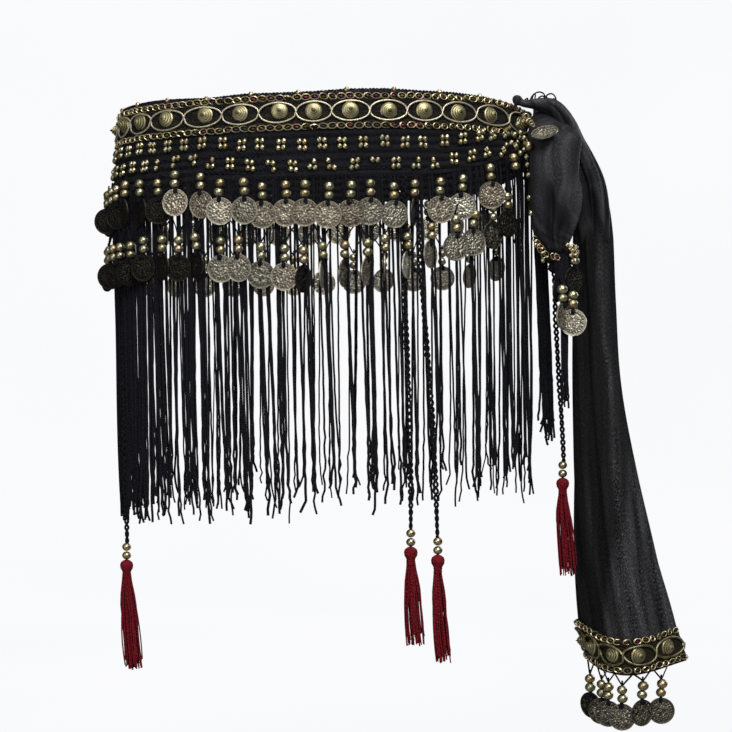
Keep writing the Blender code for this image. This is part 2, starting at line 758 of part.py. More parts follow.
def build():
    clear_scene()
    make_collection()
    materials = {name: make_material(name) for name in MATERIALS}
    hips = hips_place()
    at = hip_distance

    net_belt(hips, materials["black_net"])
    studs = round((at(BRAID_END) - at(BRAID_START)) / STUD_PITCH)
    braid_out = BELT_WALL + SEAM_GAP
    studded_braid("belt_braid", hips, at(BRAID_START), at(BRAID_END), studs, braid_out, 0, materials["braid"])

    coin = materials["coin"]
    front_row = spaced(at(FRONT_COINS[0]), at(FRONT_COINS[1]), FRONT_COIN_PITCH)
    back_row = spaced(at(BACK_COINS[0]), at(BACK_COINS[1]), BACK_COIN_PITCH)
    upper_coins("coins_upper_front", hips, front_row, coin)
    lower_coins("coins_lower_front", hips, between(front_row), coin)
    upper_coins("coins_upper_back", hips, back_row, coin)
    lower_coins("coins_lower_back", hips, between(back_row), coin)

    chance = random.Random(7)
    black = materials["black_fringe"]
    top = BELT_BOTTOM - SEAM_GAP
    front = (at(FRONT_FRINGE[0]), at(FRONT_FRINGE[1]))
    hems = (FRONT_HEM, FRONT_HEM_AT_KNOT)
    fringe("fringe_front", hips, front, FRONT_STRAND_PITCH, top, FRINGE_NEAR, hems, chance, black, belt_edge)
    back = (at(BACK_FRINGE[0]), at(BACK_FRINGE[1]))
    hems = (BACK_HEM, BACK_HEM)
    fringe("fringe_back", hips, back, BACK_STRAND_PITCH, top, FRINGE_NEAR, hems, chance, black, belt_edge)
    path = follow(KNOT_FRINGE)
    hems = (KNOT_FRINGE_HEM, KNOT_FRINGE_HEM)
    ends = (0, path.end)
    fringe("fringe_knot", path, ends, KNOT_STRAND_PITCH, KNOT_FRINGE_TOP, 0, hems, chance, black)

    cloth = materials["scarf_cloth"]
    lump("scarf_knot", KNOT_RINGS, KNOT_CLEARANCE, cloth)
    lump("scarf_short_end", SHORT_END_RINGS, SHORT_END_CLEARANCE, cloth)
    scarf_tail(cloth)
    tail_hem(materials["braid"])
    tail_coins(coin)
    short_end_hem(materials["braid"])
    short_end_coins(coin)

    red = materials["tassel_red"]
    for name, angle, bead, end in TASSELS:
        behind_drop = min(front_row, key=lambda distance: abs(distance - at(angle)))
        x, y, top = hips(behind_drop, CORD_OUT, TASSEL_CORD_TOP)
        tassel_cord(name, x, y, top, bead, black)
        tassel(name, x, y, bead, end, chance, red)
    tassel_cord("knot", *KNOT_TASSEL, KNOT_TASSEL_CORD_TOP, KNOT_TASSEL_BEAD, black)
    tassel("knot", *KNOT_TASSEL, KNOT_TASSEL_BEAD, KNOT_TASSEL_END, chance, red)


build()
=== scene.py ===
"""The looks of a belly dance hip scarf: net, gilt braid, beads, coins, fringe, tassels and scarf cloth.

Metres, +Z up. The front faces -Y and the knot is at +X. The origin is the middle of the hips, at mid-height
of the braid.
"""

import math
from types import SimpleNamespace

import bpy
import numpy as np
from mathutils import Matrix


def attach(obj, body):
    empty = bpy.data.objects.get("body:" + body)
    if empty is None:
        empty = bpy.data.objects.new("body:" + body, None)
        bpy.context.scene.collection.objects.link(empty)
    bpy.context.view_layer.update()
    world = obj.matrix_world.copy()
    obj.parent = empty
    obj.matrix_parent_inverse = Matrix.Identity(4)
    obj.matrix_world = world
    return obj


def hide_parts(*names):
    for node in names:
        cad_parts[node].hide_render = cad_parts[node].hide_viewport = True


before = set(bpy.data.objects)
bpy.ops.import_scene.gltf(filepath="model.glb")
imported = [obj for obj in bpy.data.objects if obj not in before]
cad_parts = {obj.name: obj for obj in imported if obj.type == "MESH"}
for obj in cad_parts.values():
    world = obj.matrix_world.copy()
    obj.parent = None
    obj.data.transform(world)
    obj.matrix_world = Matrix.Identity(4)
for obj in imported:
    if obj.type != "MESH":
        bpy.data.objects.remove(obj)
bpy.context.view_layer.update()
chance = np.random.default_rng(11)
MM = 0.001

# The hips inside the belt: an ellipse seen from above, with angles from the front towards the knot.
HIP_HALF_WIDTH = 0.171
HIP_HALF_DEPTH = 0.115
FIRST_ANGLE = -290
LAST_ANGLE = 90

# The belt sits a little higher at the knot, and its lower edge is gathered up towards the knot.
BELT_TILT = 0.03
GATHER_REACH = 0.13
GATHER_RISE = 0.022

# The belt leans in towards the waist by this much at its top edge.
BELT_FLARE = 0.0065

# The crocheted belt.
BELT_START = -278.0
BELT_END = 76.0
BELT_TOP = 0.017
BELT_BOTTOM = -0.051
ROW_PITCH = 0.0062
STITCH_PITCH = 0.0044
NET_OUT = 0.0012
ROW_RELIEF = 0.0019
STITCH_RELIEF = 0.0008
EDGE_LOOP_PITCH = 0.0058
SQUARE_PITCH = 0.0158
LEFT_LIFT = 0.0085

# The braid.
BRAID_START = -258.0
BRAID_END = 71.0
BRAID_HALF = 0.0135
BRAID_OUT = 0.0023
STUD_PITCH = 0.0279
STUD_RADIUS = 0.0065
EYE_RISE = 0.0077
CHAIN_RISE = 0.0114
WIRE_RADIUS = 0.00068
HEM_WIRE_RADIUS = 0.0010
LINK_PITCH = 0.0068

# How far the braid's parts stand out from its line.
BAND_OUT = 0.0008
STUD_OUT = 0.0010
CHAIN_OUT = 0.0018
WIRE_OUT = 0.0029

# The fringe's strands start under the belt's edge, and at the left they hang in behind it.
FRINGE_TOP = BELT_BOTTOM + 0.0006
FRINGE_INWARD = 0.0075
FRONT_TUFT_PITCH = 0.0062
BACK_TUFT_PITCH = 0.0076
FRONT_FRINGE_END = -0.305
BACK_FRINGE_END = -0.302
KNOT_FRINGE_END = -0.250
FRINGE_RISE = 0.029

# The radii of the yarns.
NET_YARN_RADIUS = 0.00085
STRAND_RADIUS = 0.0010
FINE_STRAND_RADIUS = 0.0009
DROP_THREAD_RADIUS = 0.0006
HEM_THREAD_RADIUS = 0.00075
TASSEL_THREAD_RADIUS = 0.00055
LOOP_RADIUS = 0.00062

# Drops: two beads and a coin.
BEAD_RADIUS = 0.0038
BEAD_PITCH = 0.0068
COIN_RADIUS = 0.0106
COIN_GAP = 0.0006
COIN_HOLE = 0.0017
COIN_WALL = 0.0011
COIN_RIM = 0.0009
COIN_SUNK = 0.00028
COIN_ROW_TOP = BELT_BOTTOM - 0.0007

# How far the lower row's roots are below the upper row's.
LOWER_THREAD = 0.044


def link(piece):
    bpy.context.scene.collection.objects.link(piece)
    return piece


def deselect():
    for piece in bpy.context.selected_objects:
        piece.select_set(False)


def choose(piece):
    deselect()
    piece.select_set(True)
    bpy.context.view_layer.objects.active = piece


def smoothstep(share):
    share = np.clip(share, 0, 1)
    return share * share * (3 - 2 * share)


def follow(points):
    """A function that gives points so far along a level path, out to its right and up."""
    path = np.array(points, float)
    steps = np.hypot(*np.diff(path, axis=0).T)
    reach = np.concatenate([[0], np.cumsum(steps)])
    tangents = np.gradient(path, reach, axis=0)

    def outwards(distance):
        along = np.stack([np.interp(distance, reach, tangents[:, i]) for i in range(2)], -1)
        along /= np.linalg.norm(along, axis=-1, keepdims=True)
        return np.stack([along[..., 1], -along[..., 0]], -1)

    def place(distance, out=0.0, height=0.0):
        distance, out, height = np.broadcast_arrays(np.asarray(distance, float), out, height)
        spot = np.stack([np.interp(distance, reach, path[:, i]) for i in range(2)], -1)
        spot = spot + outwards(distance) * out[..., None]
        return np.concatenate([spot, height[..., None]], -1)

    place.outwards = outwards
    place.end = reach[-1]
    return place


HIP_ANGLES = np.arange(FIRST_ANGLE, LAST_ANGLE + 1)
HIP_PATH = np.stack(
    [HIP_HALF_WIDTH * np.sin(np.radians(HIP_ANGLES)), -HIP_HALF_DEPTH * np.cos(np.radians(HIP_ANGLES))],
    axis=1,
)
HIP_REACH = np.concatenate([[0], np.cumsum(np.hypot(*np.diff(HIP_PATH, axis=0).T))])
level_hips = follow(HIP_PATH)


def at(degrees):
    """How far a hip angle is along the hips."""
    return float(np.interp(degrees, HIP_ANGLES, HIP_REACH))


def hips(distance, out=0.0, height=0.0):
    """Places round the hips on the belt's own slant, leaning in towards the waist."""
    leaning = np.clip((np.asarray(height, float) - BELT_BOTTOM) / (BELT_TOP - BELT_BOTTOM), 0, 1.1)
    points = level_hips(distance, out - BELT_FLARE * leaning, height)
    points[..., 2] += BELT_TILT * points[..., 0]
    return points


hips.outwards = level_hips.outwards


def gathered(distance):
    """How far the belt is gathered up: 0 round the hips and 1 at either end, under the knot."""
    to_end = np.minimum(distance - at(BELT_START), at(BELT_END) - distance)
    return smoothstep(1 - to_end / GATHER_REACH)


def belt_edge(distance):
    return GATHER_RISE * gathered(distance)


# How far the belt's top edge, and its braid, sag below their level: places along the belt from the front's
# middle, and how far down each is, in millimetres.
EDGE_SAG_AT = (
    -720, -690, -655, -610, -200, -150, -127, -92, -63, -32, -7, 20, 50, 78, 105, 136, 155, 172, 190,
)
EDGE_SAG = (13, 11, 5, 0, 0, 0, 0.8, 3.0, 1.8, 2.4, 2.4, 1.1, 1.1, 2.6, 3.2, 5.2, 8.0, 11.0, 13.0)
BRAID_SAG_AT = (-690, -655, -610, -300, -190, -165, -140, -80, -20, 40, 70, 100, 136, 155, 172, 190)
BRAID_SAG = (7, 3, 0, 0, -1.6, -1.4, -0.9, -0.4, 0, 0, 0.2, 0.6, 1.6, 3.0, 5.2, 8.0)


def belt_top(distance):
    return BELT_TOP - MM * np.interp((distance - at(0)) / MM, EDGE_SAG_AT, EDGE_SAG)


def braid_line(distance, out=0.0, height=0.0):
    """Places round the hips along the braid, which sags at the knot."""
    return hips(distance, out, height - MM * np.interp((distance - at(0)) / MM, BRAID_SAG_AT, BRAID_SAG))


braid_line.outwards = hips.outwards


def left_lift(distance):
    """The belt's lower courses are drawn up a little at the front's left."""
    from_middle = at(0) - distance
    return LEFT_LIFT * smoothstep((from_middle - 0.02) / 0.11) * smoothstep((0.42 - from_middle) / 0.12)


def turned(axis, angle):
    """A rotation matrix for each angle, about the axis numbered."""
    angle = np.atleast_1d(np.asarray(angle, float))
    turn = np.zeros((len(angle), 3, 3))
    turn[:, axis, axis] = 1
    first, second = (axis + 1) % 3, (axis + 2) % 3
    turn[:, first, first] = turn[:, second, second] = np.cos(angle)
    turn[:, second, first] = np.sin(angle)
    turn[:, first, second] = -np.sin(angle)
    return turn


def facing(place, distances, yaw=0.0, nod=0.0, roll=0.0):
    """Frames that stand on a path and face out from it, turned about up, along it and out from it."""
    outward = place.outwards(np.asarray(distances, float))
    frames = np.zeros((len(outward), 3, 3))
    frames[:, 0, 0], frames[:, 1, 0] = -outward[:, 1], outward[:, 0]
    frames[:, 0, 1], frames[:, 1, 1] = -outward[:, 0], -outward[:, 1]
    frames[:, 2, 2] = 1
    count = len(outward)
    for axis, angle in ((2, yaw), (0, nod), (1, roll)):
        frames = frames @ turned(axis, np.broadcast_to(angle, count))
    return frames


def raw_mesh(name, points, corners, sizes):
    data = bpy.data.meshes.new(name)
    data.vertices.add(len(points))
    data.vertices.foreach_set("co", np.ascontiguousarray(points, np.float32).ravel())
    data.loops.add(len(corners))
    data.loops.foreach_set("vertex_index", np.ascontiguousarray(corners, np.int32))
    data.polygons.add(len(sizes))
    starts = np.concatenate([[0], np.cumsum(sizes)[:-1]])
    data.polygons.foreach_set("loop_start", starts.astype(np.int32))
    data.update(calc_edges=True)
    data.validate()
    return data


def sharpen(data, degrees=40):
    data.shade_smooth()
    data.set_sharp_from_angle(angle=math.radians(degrees))


def mark(data, name, values):
    """Gives each point of a mesh a number that its material reads."""
    data.attributes.new(name, "FLOAT", "POINT").data.foreach_set("value", values.astype(np.float32).ravel())


def copies(name, batches, material, degrees=40):
    """One mesh of many copies. Each batch is a shape, its frames, its spots and a tint for each copy."""
    points, corners, sizes, tints, raised, flat = [], [], [], [], [], []
    base = 0
    for shape, frames, spots, tint in batches:
        count = len(spots)
        moved = np.einsum("nij,vj->nvi", frames, shape.points) + spots[:, None]
        points.append(moved.reshape(-1, 3))
        corners.append((shape.corners[None] + base + np.arange(count)[:, None] * len(shape.points)).ravel())
        base += count * len(shape.points)
        sizes.append(np.tile(shape.sizes, count))
        tints.append(np.repeat(np.broadcast_to(tint, count), len(shape.points)))
        raised.append(np.tile(shape.raised, count))
        flat.append(np.tile(shape.points[:, [0, 2]][shape.corners], (count, 1)))
    data = raw_mesh(name, np.concatenate(points), np.concatenate(corners), np.concatenate(sizes))
    mark(data, "tint", np.concatenate(tints))
    mark(data, "raised", np.concatenate(raised))
    data.uv_layers.new(name="face").data.foreach_set("uv", np.concatenate(flat).astype(np.float32).ravel())
    sharpen(data, degrees)
    data.materials.append(material)
    return link(bpy.data.objects.new(name, data))


def yarn(name, paths, radius, material, rings=1, widths=None):
    """Many lengths of yarn as one mesh. Each path is a row of points."""
    curve = bpy.data.curves.new(name, "CURVE")
    curve.dimensions = "3D"
    curve.bevel_depth = radius
    curve.bevel_resolution = rings
    curve.use_fill_caps = True
    for number, path in enumerate(paths):
        spline = curve.splines.new("POLY")
        spline.points.add(len(path) - 1)
        spline.points.foreach_set("co", np.column_stack([path, np.ones(len(path))]).ravel())
        if widths is not None:
            spline.points.foreach_set("radius", np.broadcast_to(widths[number], len(path)).astype(np.float32))
    curve.materials.append(material)
    piece = link(bpy.data.objects.new(name, curve))
    choose(piece)
    bpy.ops.object.convert(target="MESH")
    piece.data.shade_smooth()
    return piece


def corner_rows(values):
    """Each face's four corners out of rows of points."""
    return np.stack([values[:-1, :-1], values[1:, :-1], values[1:, 1:], values[:-1, 1:]], 2)


def cloth(name, grid, across, along, material, wall, closed=False, flipped=False, thin_and_lit=None):
    """A sheet through rows of points, with a UV map in metres. Its wall is added inwards from the points.

    "closed" joins its last column to its first and "flipped" turns its outside over. "thin_and_lit" says how
    pale the cloth is painted at each point: for the light through thin cloth, and as painted highlights and
    painted shade.
    """
    rows, columns = grid.shape[:2]
    index = np.arange(rows * columns).reshape(rows, columns)
    across, along = np.broadcast_arrays(across, along)
    if closed:
        index = np.concatenate([index, index[:, :1]], axis=1)
        across = np.concatenate([across, 2 * across[:, -1:] - across[:, -2:-1]], axis=1)
        along = np.concatenate([along, along[:, :1]], axis=1)
    quads = corner_rows(index).reshape(-1, 4)
    corners = corner_rows(np.stack([across, along], -1)).reshape(-1, 4, 2)
    if flipped:
        quads, corners = quads[:, ::-1], corners[:, ::-1]
    data = raw_mesh(name, grid.reshape(-1, 3), quads.ravel(), np.full(len(quads), 4))
    data.uv_layers.new(name="cloth").data.foreach_set("uv", corners.astype(np.float32).ravel())
    if thin_and_lit is not None:
        mark(data, "thin_and_lit", thin_and_lit)
    data.shade_smooth()
    data.materials.append(material)
    piece = link(bpy.data.objects.new(name, data))
    thick = piece.modifiers.new("wall", "SOLIDIFY")
    thick.thickness = wall
    thick.offset = -1
    choose(piece)
    bpy.ops.object.modifier_apply(modifier=thick.name)
    return piece


def stands_for(piece, slot, *nodes):
    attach(piece, "root")
    if nodes:
        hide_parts(*nodes)
    return piece


# --- Materials ---


def feed(made, inputs):
    """Sets each input of a node, by its name or number, to a value or to another node's output."""
    for name, value in inputs.items():
        if isinstance(value, bpy.types.NodeSocket):
            made.id_data.links.new(value, made.inputs[name])
        else:
            made.inputs[name].default_value = value


def node(tree, kind, inputs=None, **settings):
    made = tree.nodes.new(kind)
    for name, value in settings.items():
        setattr(made, name, value)
    feed(made, inputs or {})
    return made


def noise(where, scale, detail, **more):
    inputs = {"Vector": where, "Scale": scale, "Detail": detail, **more}
    return node(where.id_data, "ShaderNodeTexNoise", inputs).outputs["Fac"]


def on_object(tree):
    return node(tree, "ShaderNodeTexCoord").outputs["Object"]


def marked(tree, name):
    """The number that each point was given under this name."""
    return node(tree, "ShaderNodeAttribute", attribute_name=name).outputs["Fac"]


def maths(operation, first, second=0.0, third=0.0):
    inputs = {0: first, 1: second, 2: third}
    return node(first.id_data, "ShaderNodeMath", inputs, operation=operation).outputs[0]


def mixed(share, first, second):
    return node(share.id_data, "ShaderNodeMix", {0: share, 6: first, 7: second}, data_type="RGBA").outputs[2]


def ranged(value, low, high, to_low=0.0, to_high=1.0):
    inputs = {0: value, 1: low, 2: high, 3: to_low, 4: to_high}
    return node(value.id_data, "ShaderNodeMapRange", inputs).outputs[0]


def group(name, colours, values, results):
    """A node group that takes colours and values. Its result Color is a colour and the others are values."""
    tree = bpy.data.node_groups.new(name, "ShaderNodeTree")
    for title in colours:
        tree.interface.new_socket(title, in_out="INPUT", socket_type="NodeSocketColor")
    for title in values:
        tree.interface.new_socket(title, in_out="INPUT", socket_type="NodeSocketFloat")
    for title in results:
        kind = "NodeSocketColor" if title == "Color" else "NodeSocketFloat"
        tree.interface.new_socket(title, in_out="OUTPUT", socket_type=kind)
    return tree, tree.nodes.new("NodeGroupInput").outputs, tree.nodes.new("NodeGroupOutput")


def tarnish_group():
    """Old brass: dark in its hollows, rubbed bright where it is raised, uneven from piece to piece. A coin's
    tint also carries its painted shade and reflection.
    """
    tree, given, end = group(
        "tarnish", ["Dark", "Middle", "Bright"], ["Scale", "Rubbed", "Dull", "Coppery"],
        ["Color", "Roughness", "Height"],
    )
    where = on_object(tree)
    cloudy = noise(where, given["Scale"], 4.0)
    fine = noise(where, 1500.0, 2.0)
    tint = marked(tree, "tint")
    wear_and_shade = maths("MULTIPLY_ADD", cloudy, 0.8, -0.18)
    wear_and_shade = maths("MULTIPLY_ADD", marked(tree, "raised"), given["Rubbed"], wear_and_shade)
    # The tint: a random tone for each copy, less a coin's painted shade and reflection.
    wear_and_shade = maths("MULTIPLY_ADD", tint, 0.35, wear_and_shade)
    low = mixed(ranged(wear_and_shade, 0.05, 0.5), given["Dark"], given["Middle"])
    colour = mixed(ranged(wear_and_shade, 0.5, 0.95), low, given["Bright"])
    batch = maths("FRACT", maths("MULTIPLY", tint, 9.7))
    copper = node(tree, "ShaderNodeVectorMath", {0: colour, 1: (1.11, 0.93, 0.86)}, operation="MULTIPLY")
    share = maths("MULTIPLY", ranged(batch, 0.55, 0.85), given["Coppery"])
    feed(end, {
        "Color": mixed(share, colour, copper.outputs[0]),
        "Roughness": maths("ADD", ranged(wear_and_shade, 0.1, 0.9, 0.48, 0.24), given["Dull"]),
        "Height": maths("MULTIPLY_ADD", fine, 0.35, cloudy),
    })
    return tree


def relief_group():
    """The busy raised work of an old coin's face: a ring of small marks inside a rim, half worn away."""
    tree, given, end = group("coin relief", [], ["Radius"], ["Height", "Worn"])
    flat = node(tree, "ShaderNodeUVMap", uv_map="face").outputs["UV"]
    x, y, _ = node(tree, "ShaderNodeSeparateXYZ", {0: flat}).outputs
    length = node(tree, "ShaderNodeVectorMath", {0: flat}, operation="LENGTH").outputs["Value"]
    reach = maths("DIVIDE", length, given["Radius"])
    turn = maths("MULTIPLY", maths("ARCTAN2", y, x), 22.0)
    where = on_object(tree)
    marks = maths("SINE", maths("MULTIPLY_ADD", noise(where, 260.0, 2.0), 9.0, turn))
    ring = maths("MULTIPLY", ranged(reach, 0.66, 0.70), ranged(reach, 0.84, 0.80))
    marks = maths("MULTIPLY", marks, ring)
    spots = {"Vector": where, "Scale": 640.0, "Randomness": 1.0}
    spots = node(tree, "ShaderNodeTexVoronoi", spots, feature="SMOOTH_F1").outputs["Distance"]
    inner = ranged(reach, 0.70, 0.62)
    worn = maths("MULTIPLY", ranged(spots, 0.15, 0.75, 1.6, -0.4), inner)
    rim = maths("MULTIPLY", ranged(reach, 0.90, 0.94), 0.9)
    height = maths("ADD", maths("MULTIPLY_ADD", marks, 0.7, worn), rim)
    feed(end, {"Height": height, "Worn": ranged(height, -0.6, 1.6, 0.42, 1.20)})
    return tree


def yarn_group():
    """Cotton yarn: fuzzy, a little lighter where it catches the light, dull in between."""
    tree, given, end = group("yarn", ["Shade", "Light"], ["Scale"], ["Color", "Roughness", "Height"])
    where = on_object(tree)
    uneven = noise(where, given["Scale"], 3.0)
    strands = {"Vector": where, "Scale": 260.0, "Distortion": 6.0, "Detail": 2.0}
    twist = node(tree, "ShaderNodeTexWave", strands, bands_direction="DIAGONAL").outputs["Fac"]
    share = maths("MULTIPLY", uneven, ranged(twist, 0, 1, 0.6, 1.2))
    feed(end, {
        "Color": mixed(ranged(share, 0.3, 0.75), given["Shade"], given["Light"]),
        "Roughness": ranged(uneven, 0.2, 0.8, 0.75, 0.95),
        "Height": maths("ADD", twist, uneven),
    })
    return tree


def weave_group():
    """Thin crinkled cloth: a fine weave with short upright crinkles that catch the light as painted specks,
    with painted highlights along its broad folds and painted light and shade from each point's mark.
    """
    tree, given, end = group(
        "crinkled weave", ["Shade", "Light"], ["Speck"], ["Color", "Roughness", "Height", "Closed"]
    )
    flat = node(tree, "ShaderNodeUVMap", uv_map="cloth").outputs["UV"]
    streaks = node(tree, "ShaderNodeMapping", {"Vector": flat, "Scale": (1.0, 0.5, 1.0)}).outputs[0]
    crinkle = noise(streaks, 1000.0, 3.0, Roughness=0.65)
    folds = node(tree, "ShaderNodeMapping", {"Vector": flat, "Scale": (1.0, 0.06, 1.0)}).outputs[0]
    broad = noise(folds, 130.0, 2.0)
    # How pale the cloth is painted: for the light through thin cloth, and as painted highlights and painted
    # shade.
    thin_and_lit = marked(tree, "thin_and_lit")
    specks = maths("MULTIPLY", ranged(crinkle, 0.46, 0.66), given["Speck"])
    specks = maths("MULTIPLY", specks, maths("MULTIPLY_ADD", thin_and_lit, 0.9, 0.12))
    paler = maths("MULTIPLY_ADD", thin_and_lit, 0.4, 0.06)
    # Paler along the broad folds: a painted highlight.
    share = maths("MULTIPLY_ADD", ranged(broad, 0.35, 0.65), paler, specks)
    holes = maths("MULTIPLY", ranged(crinkle, 0.50, 0.66), thin_and_lit)
    feed(end, {
        "Color": mixed(share, given["Shade"], given["Light"]),
        "Roughness": ranged(crinkle, 0.3, 0.7, 0.8, 0.55),
        "Height": maths("MULTIPLY_ADD", broad, 1.5, crinkle),
        "Closed": ranged(holes, 0.0, 1.0, 1.0, 0.72),
    })
    return tree


TARNISH = tarnish_group()
RELIEF = relief_group()
YARN = yarn_group()
WEAVE = weave_group()


def blank(name):
    made = bpy.data.materials.new(name)
    made.use_nodes = True
    return made, made.node_tree, made.node_tree.nodes["Principled BSDF"]


def grouped(tree, shared, inputs):
    return node(tree, "ShaderNodeGroup", inputs, node_tree=shared).outputs


def bumped(height, distance):
    inputs = {"Height": height, "Distance": distance, "Strength": 1.0}
    return node(height.id_data, "ShaderNodeBump", inputs).outputs[0]


def metal(name, dark, middle, bright, scale=220.0, rubbed=0.35, dull=0.0, coppery=0.0, metallic=1.0,
          bump=0.00012, coin_radius=None):
    made, tree, shader = blank(name)
    old = grouped(tree, TARNISH, {
        "Dark": dark, "Middle": middle, "Bright": bright, "Scale": scale, "Rubbed": rubbed, "Dull": dull,
        "Coppery": coppery,
    })
    colour, height = old["Color"], old["Height"]
    if coin_radius:
        marks = grouped(tree, RELIEF, {"Radius": coin_radius})
        height = maths("MULTIPLY_ADD", marks["Height"], 1.6, height)
        worn = {0: colour, "Scale": marks["Worn"]}
        colour = node(tree, "ShaderNodeVectorMath", worn, operation="SCALE").outputs[0]
    feed(shader, {
        "Base Color": colour, "Roughness": old["Roughness"], "Metallic": metallic,
        "Normal": bumped(height, bump),
    })
    return made


def cotton(name, shade, light, scale=500.0):
    made, tree, shader = blank(name)
    spun = grouped(tree, YARN, {"Shade": shade, "Light": light, "Scale": scale})
    feed(shader, {
        "Base Color": spun["Color"], "Roughness": spun["Roughness"], "Specular IOR Level": 0.15,
        "Sheen Weight": 0.02, "Sheen Roughness": 0.5, "Normal": bumped(spun["Height"], 0.0003),
    })
    return made


def voile(name, shade, light, speck, bump, sheen, shine, see_through=False):
    made, tree, shader = blank(name)
    woven = grouped(tree, WEAVE, {"Shade": shade, "Light": light, "Speck": speck})
    feed(shader, {
        "Base Color": woven["Color"], "Roughness": woven["Roughness"], "Specular IOR Level": shine,
        "Sheen Weight": sheen, "Sheen Roughness": 0.4, "Normal": bumped(woven["Height"], bump),
    })
    if see_through:
        feed(shader, {"Alpha": woven["Closed"]})
    return made


def bright_threads(name, colours):
    """Bright floss in a few colours, picked for each copy by its tint."""
    made, tree, shader = blank(name)
    ramp = node(tree, "ShaderNodeValToRGB", {0: marked(tree, "tint")})
    ramp.color_ramp.interpolation = "CONSTANT"
    stops = ramp.color_ramp.elements
    for number, colour in enumerate(colours):
        position = number / len(colours)
        stop = stops[number] if number < 2 else stops.new(position)
        stop.position = position
        stop.color = colour
    uneven = noise(on_object(tree), 900.0, 2.0)
    # Painted shade of the floss's hollows, mixed in at random spots by noise.
    hollow_shade = (0.03, 0.022, 0.01, 1)
    feed(shader, {
        "Base Color": mixed(ranged(uneven, 0.3, 0.6, 0.2, 1.0), hollow_shade, ramp.outputs[0]),
        "Roughness": ranged(uneven, 0.3, 0.7, 0.5, 0.3), "Metallic": 0.6,
        "Normal": bumped(uneven, 0.0003),
    })
    return made


brass = metal(
    "antique_brass", (0.05, 0.044, 0.022, 1), (0.25, 0.225, 0.115, 1), (0.52, 0.49, 0.32, 1),
    rubbed=0.42, dull=0.10, coppery=1.0,
)
cone_brass = metal(
    "cone_brass", (0.020, 0.018, 0.009, 1), (0.17, 0.15, 0.075, 1), (0.50, 0.45, 0.26, 1),
    rubbed=0.75, dull=0.24,
)
pewter = metal(
    "coin_pewter", (0.025, 0.024, 0.018, 1), (0.42, 0.39, 0.30, 1), (0.84, 0.80, 0.65, 1),
    scale=420.0, rubbed=0.38, dull=0.05, coppery=0.4, metallic=0.9, bump=0.00040, coin_radius=COIN_RADIUS,
)
gold_wire = metal(
    "gold_wire", (0.46, 0.41, 0.27, 1), (0.90, 0.84, 0.64, 1), (1.0, 0.97, 0.86, 1),
    scale=300.0, metallic=0.75,
)
hem_wire = metal(
    "hem_wire", (0.10, 0.085, 0.04, 1), (0.50, 0.45, 0.25, 1), (0.90, 0.86, 0.60, 1),
    scale=300.0, metallic=0.85,
)
gold_chain = metal(
    "gold_chain", (0.20, 0.16, 0.08, 1), (0.72, 0.62, 0.36, 1), (1.0, 0.94, 0.72, 1),
    scale=600.0, metallic=0.75,
)
floss = bright_threads("bright_floss", [
    (0.10, 0.07, 0.02, 1), (0.30, 0.025, 0.04, 1), (0.04, 0.03, 0.012, 1), (0.16, 0.19, 0.03, 1),
    (0.20, 0.13, 0.04, 1), (0.26, 0.035, 0.10, 1), (0.03, 0.022, 0.012, 1), (0.08, 0.025, 0.10, 1),
])
net_yarn = cotton("net_yarn", (0.002, 0.002, 0.003, 1), (0.013, 0.0135, 0.018, 1))
fringe_yarn = cotton("fringe_yarn", (0.002, 0.002, 0.004, 1), (0.012, 0.012, 0.017, 1))
ribbon_yarn = cotton("ribbon_yarn", (0.004, 0.003, 0.002, 1), (0.045, 0.035, 0.018, 1), scale=1400.0)
crimson = cotton("crimson_yarn", (0.08, 0.002, 0.005, 1), (0.30, 0.009, 0.018, 1), scale=700.0)
tail_cloth = voile(
    "tail_cloth", (0.0032, 0.0032, 0.0036, 1), (0.086, 0.086, 0.090, 1), 0.9,
    bump=0.0004, sheen=0.006, shine=0.07, see_through=True,
)
knot_cloth = voile(
    "knot_cloth", (0.004, 0.004, 0.005, 1), (0.100, 0.100, 0.108, 1), 0.4,
    bump=0.0002, sheen=0.02, shine=0.2,
)


# --- Small shapes, each modelled once ---


def taken(parts, title, kind, width=1):
    """One value of every point, loop or face of a mesh."""
    values = np.empty(len(parts) * width, kind)
    parts.foreach_get(title, values)
    return values


def shape_of(piece, raised=None):
    """The points and faces of a finished shape, which is then put away."""
    data = piece.data
    points = taken(data.vertices, "co", np.float32, 3).reshape(-1, 3).astype(float)
    corners = taken(data.loops, "vertex_index", np.int32)
    sizes = taken(data.polygons, "loop_total", np.int32)
    marks = np.zeros(len(points)) if raised is None else raised(points)
    bpy.data.objects.remove(piece, do_unlink=True)
    return SimpleNamespace(points=points, corners=corners, sizes=sizes, raised=marks)


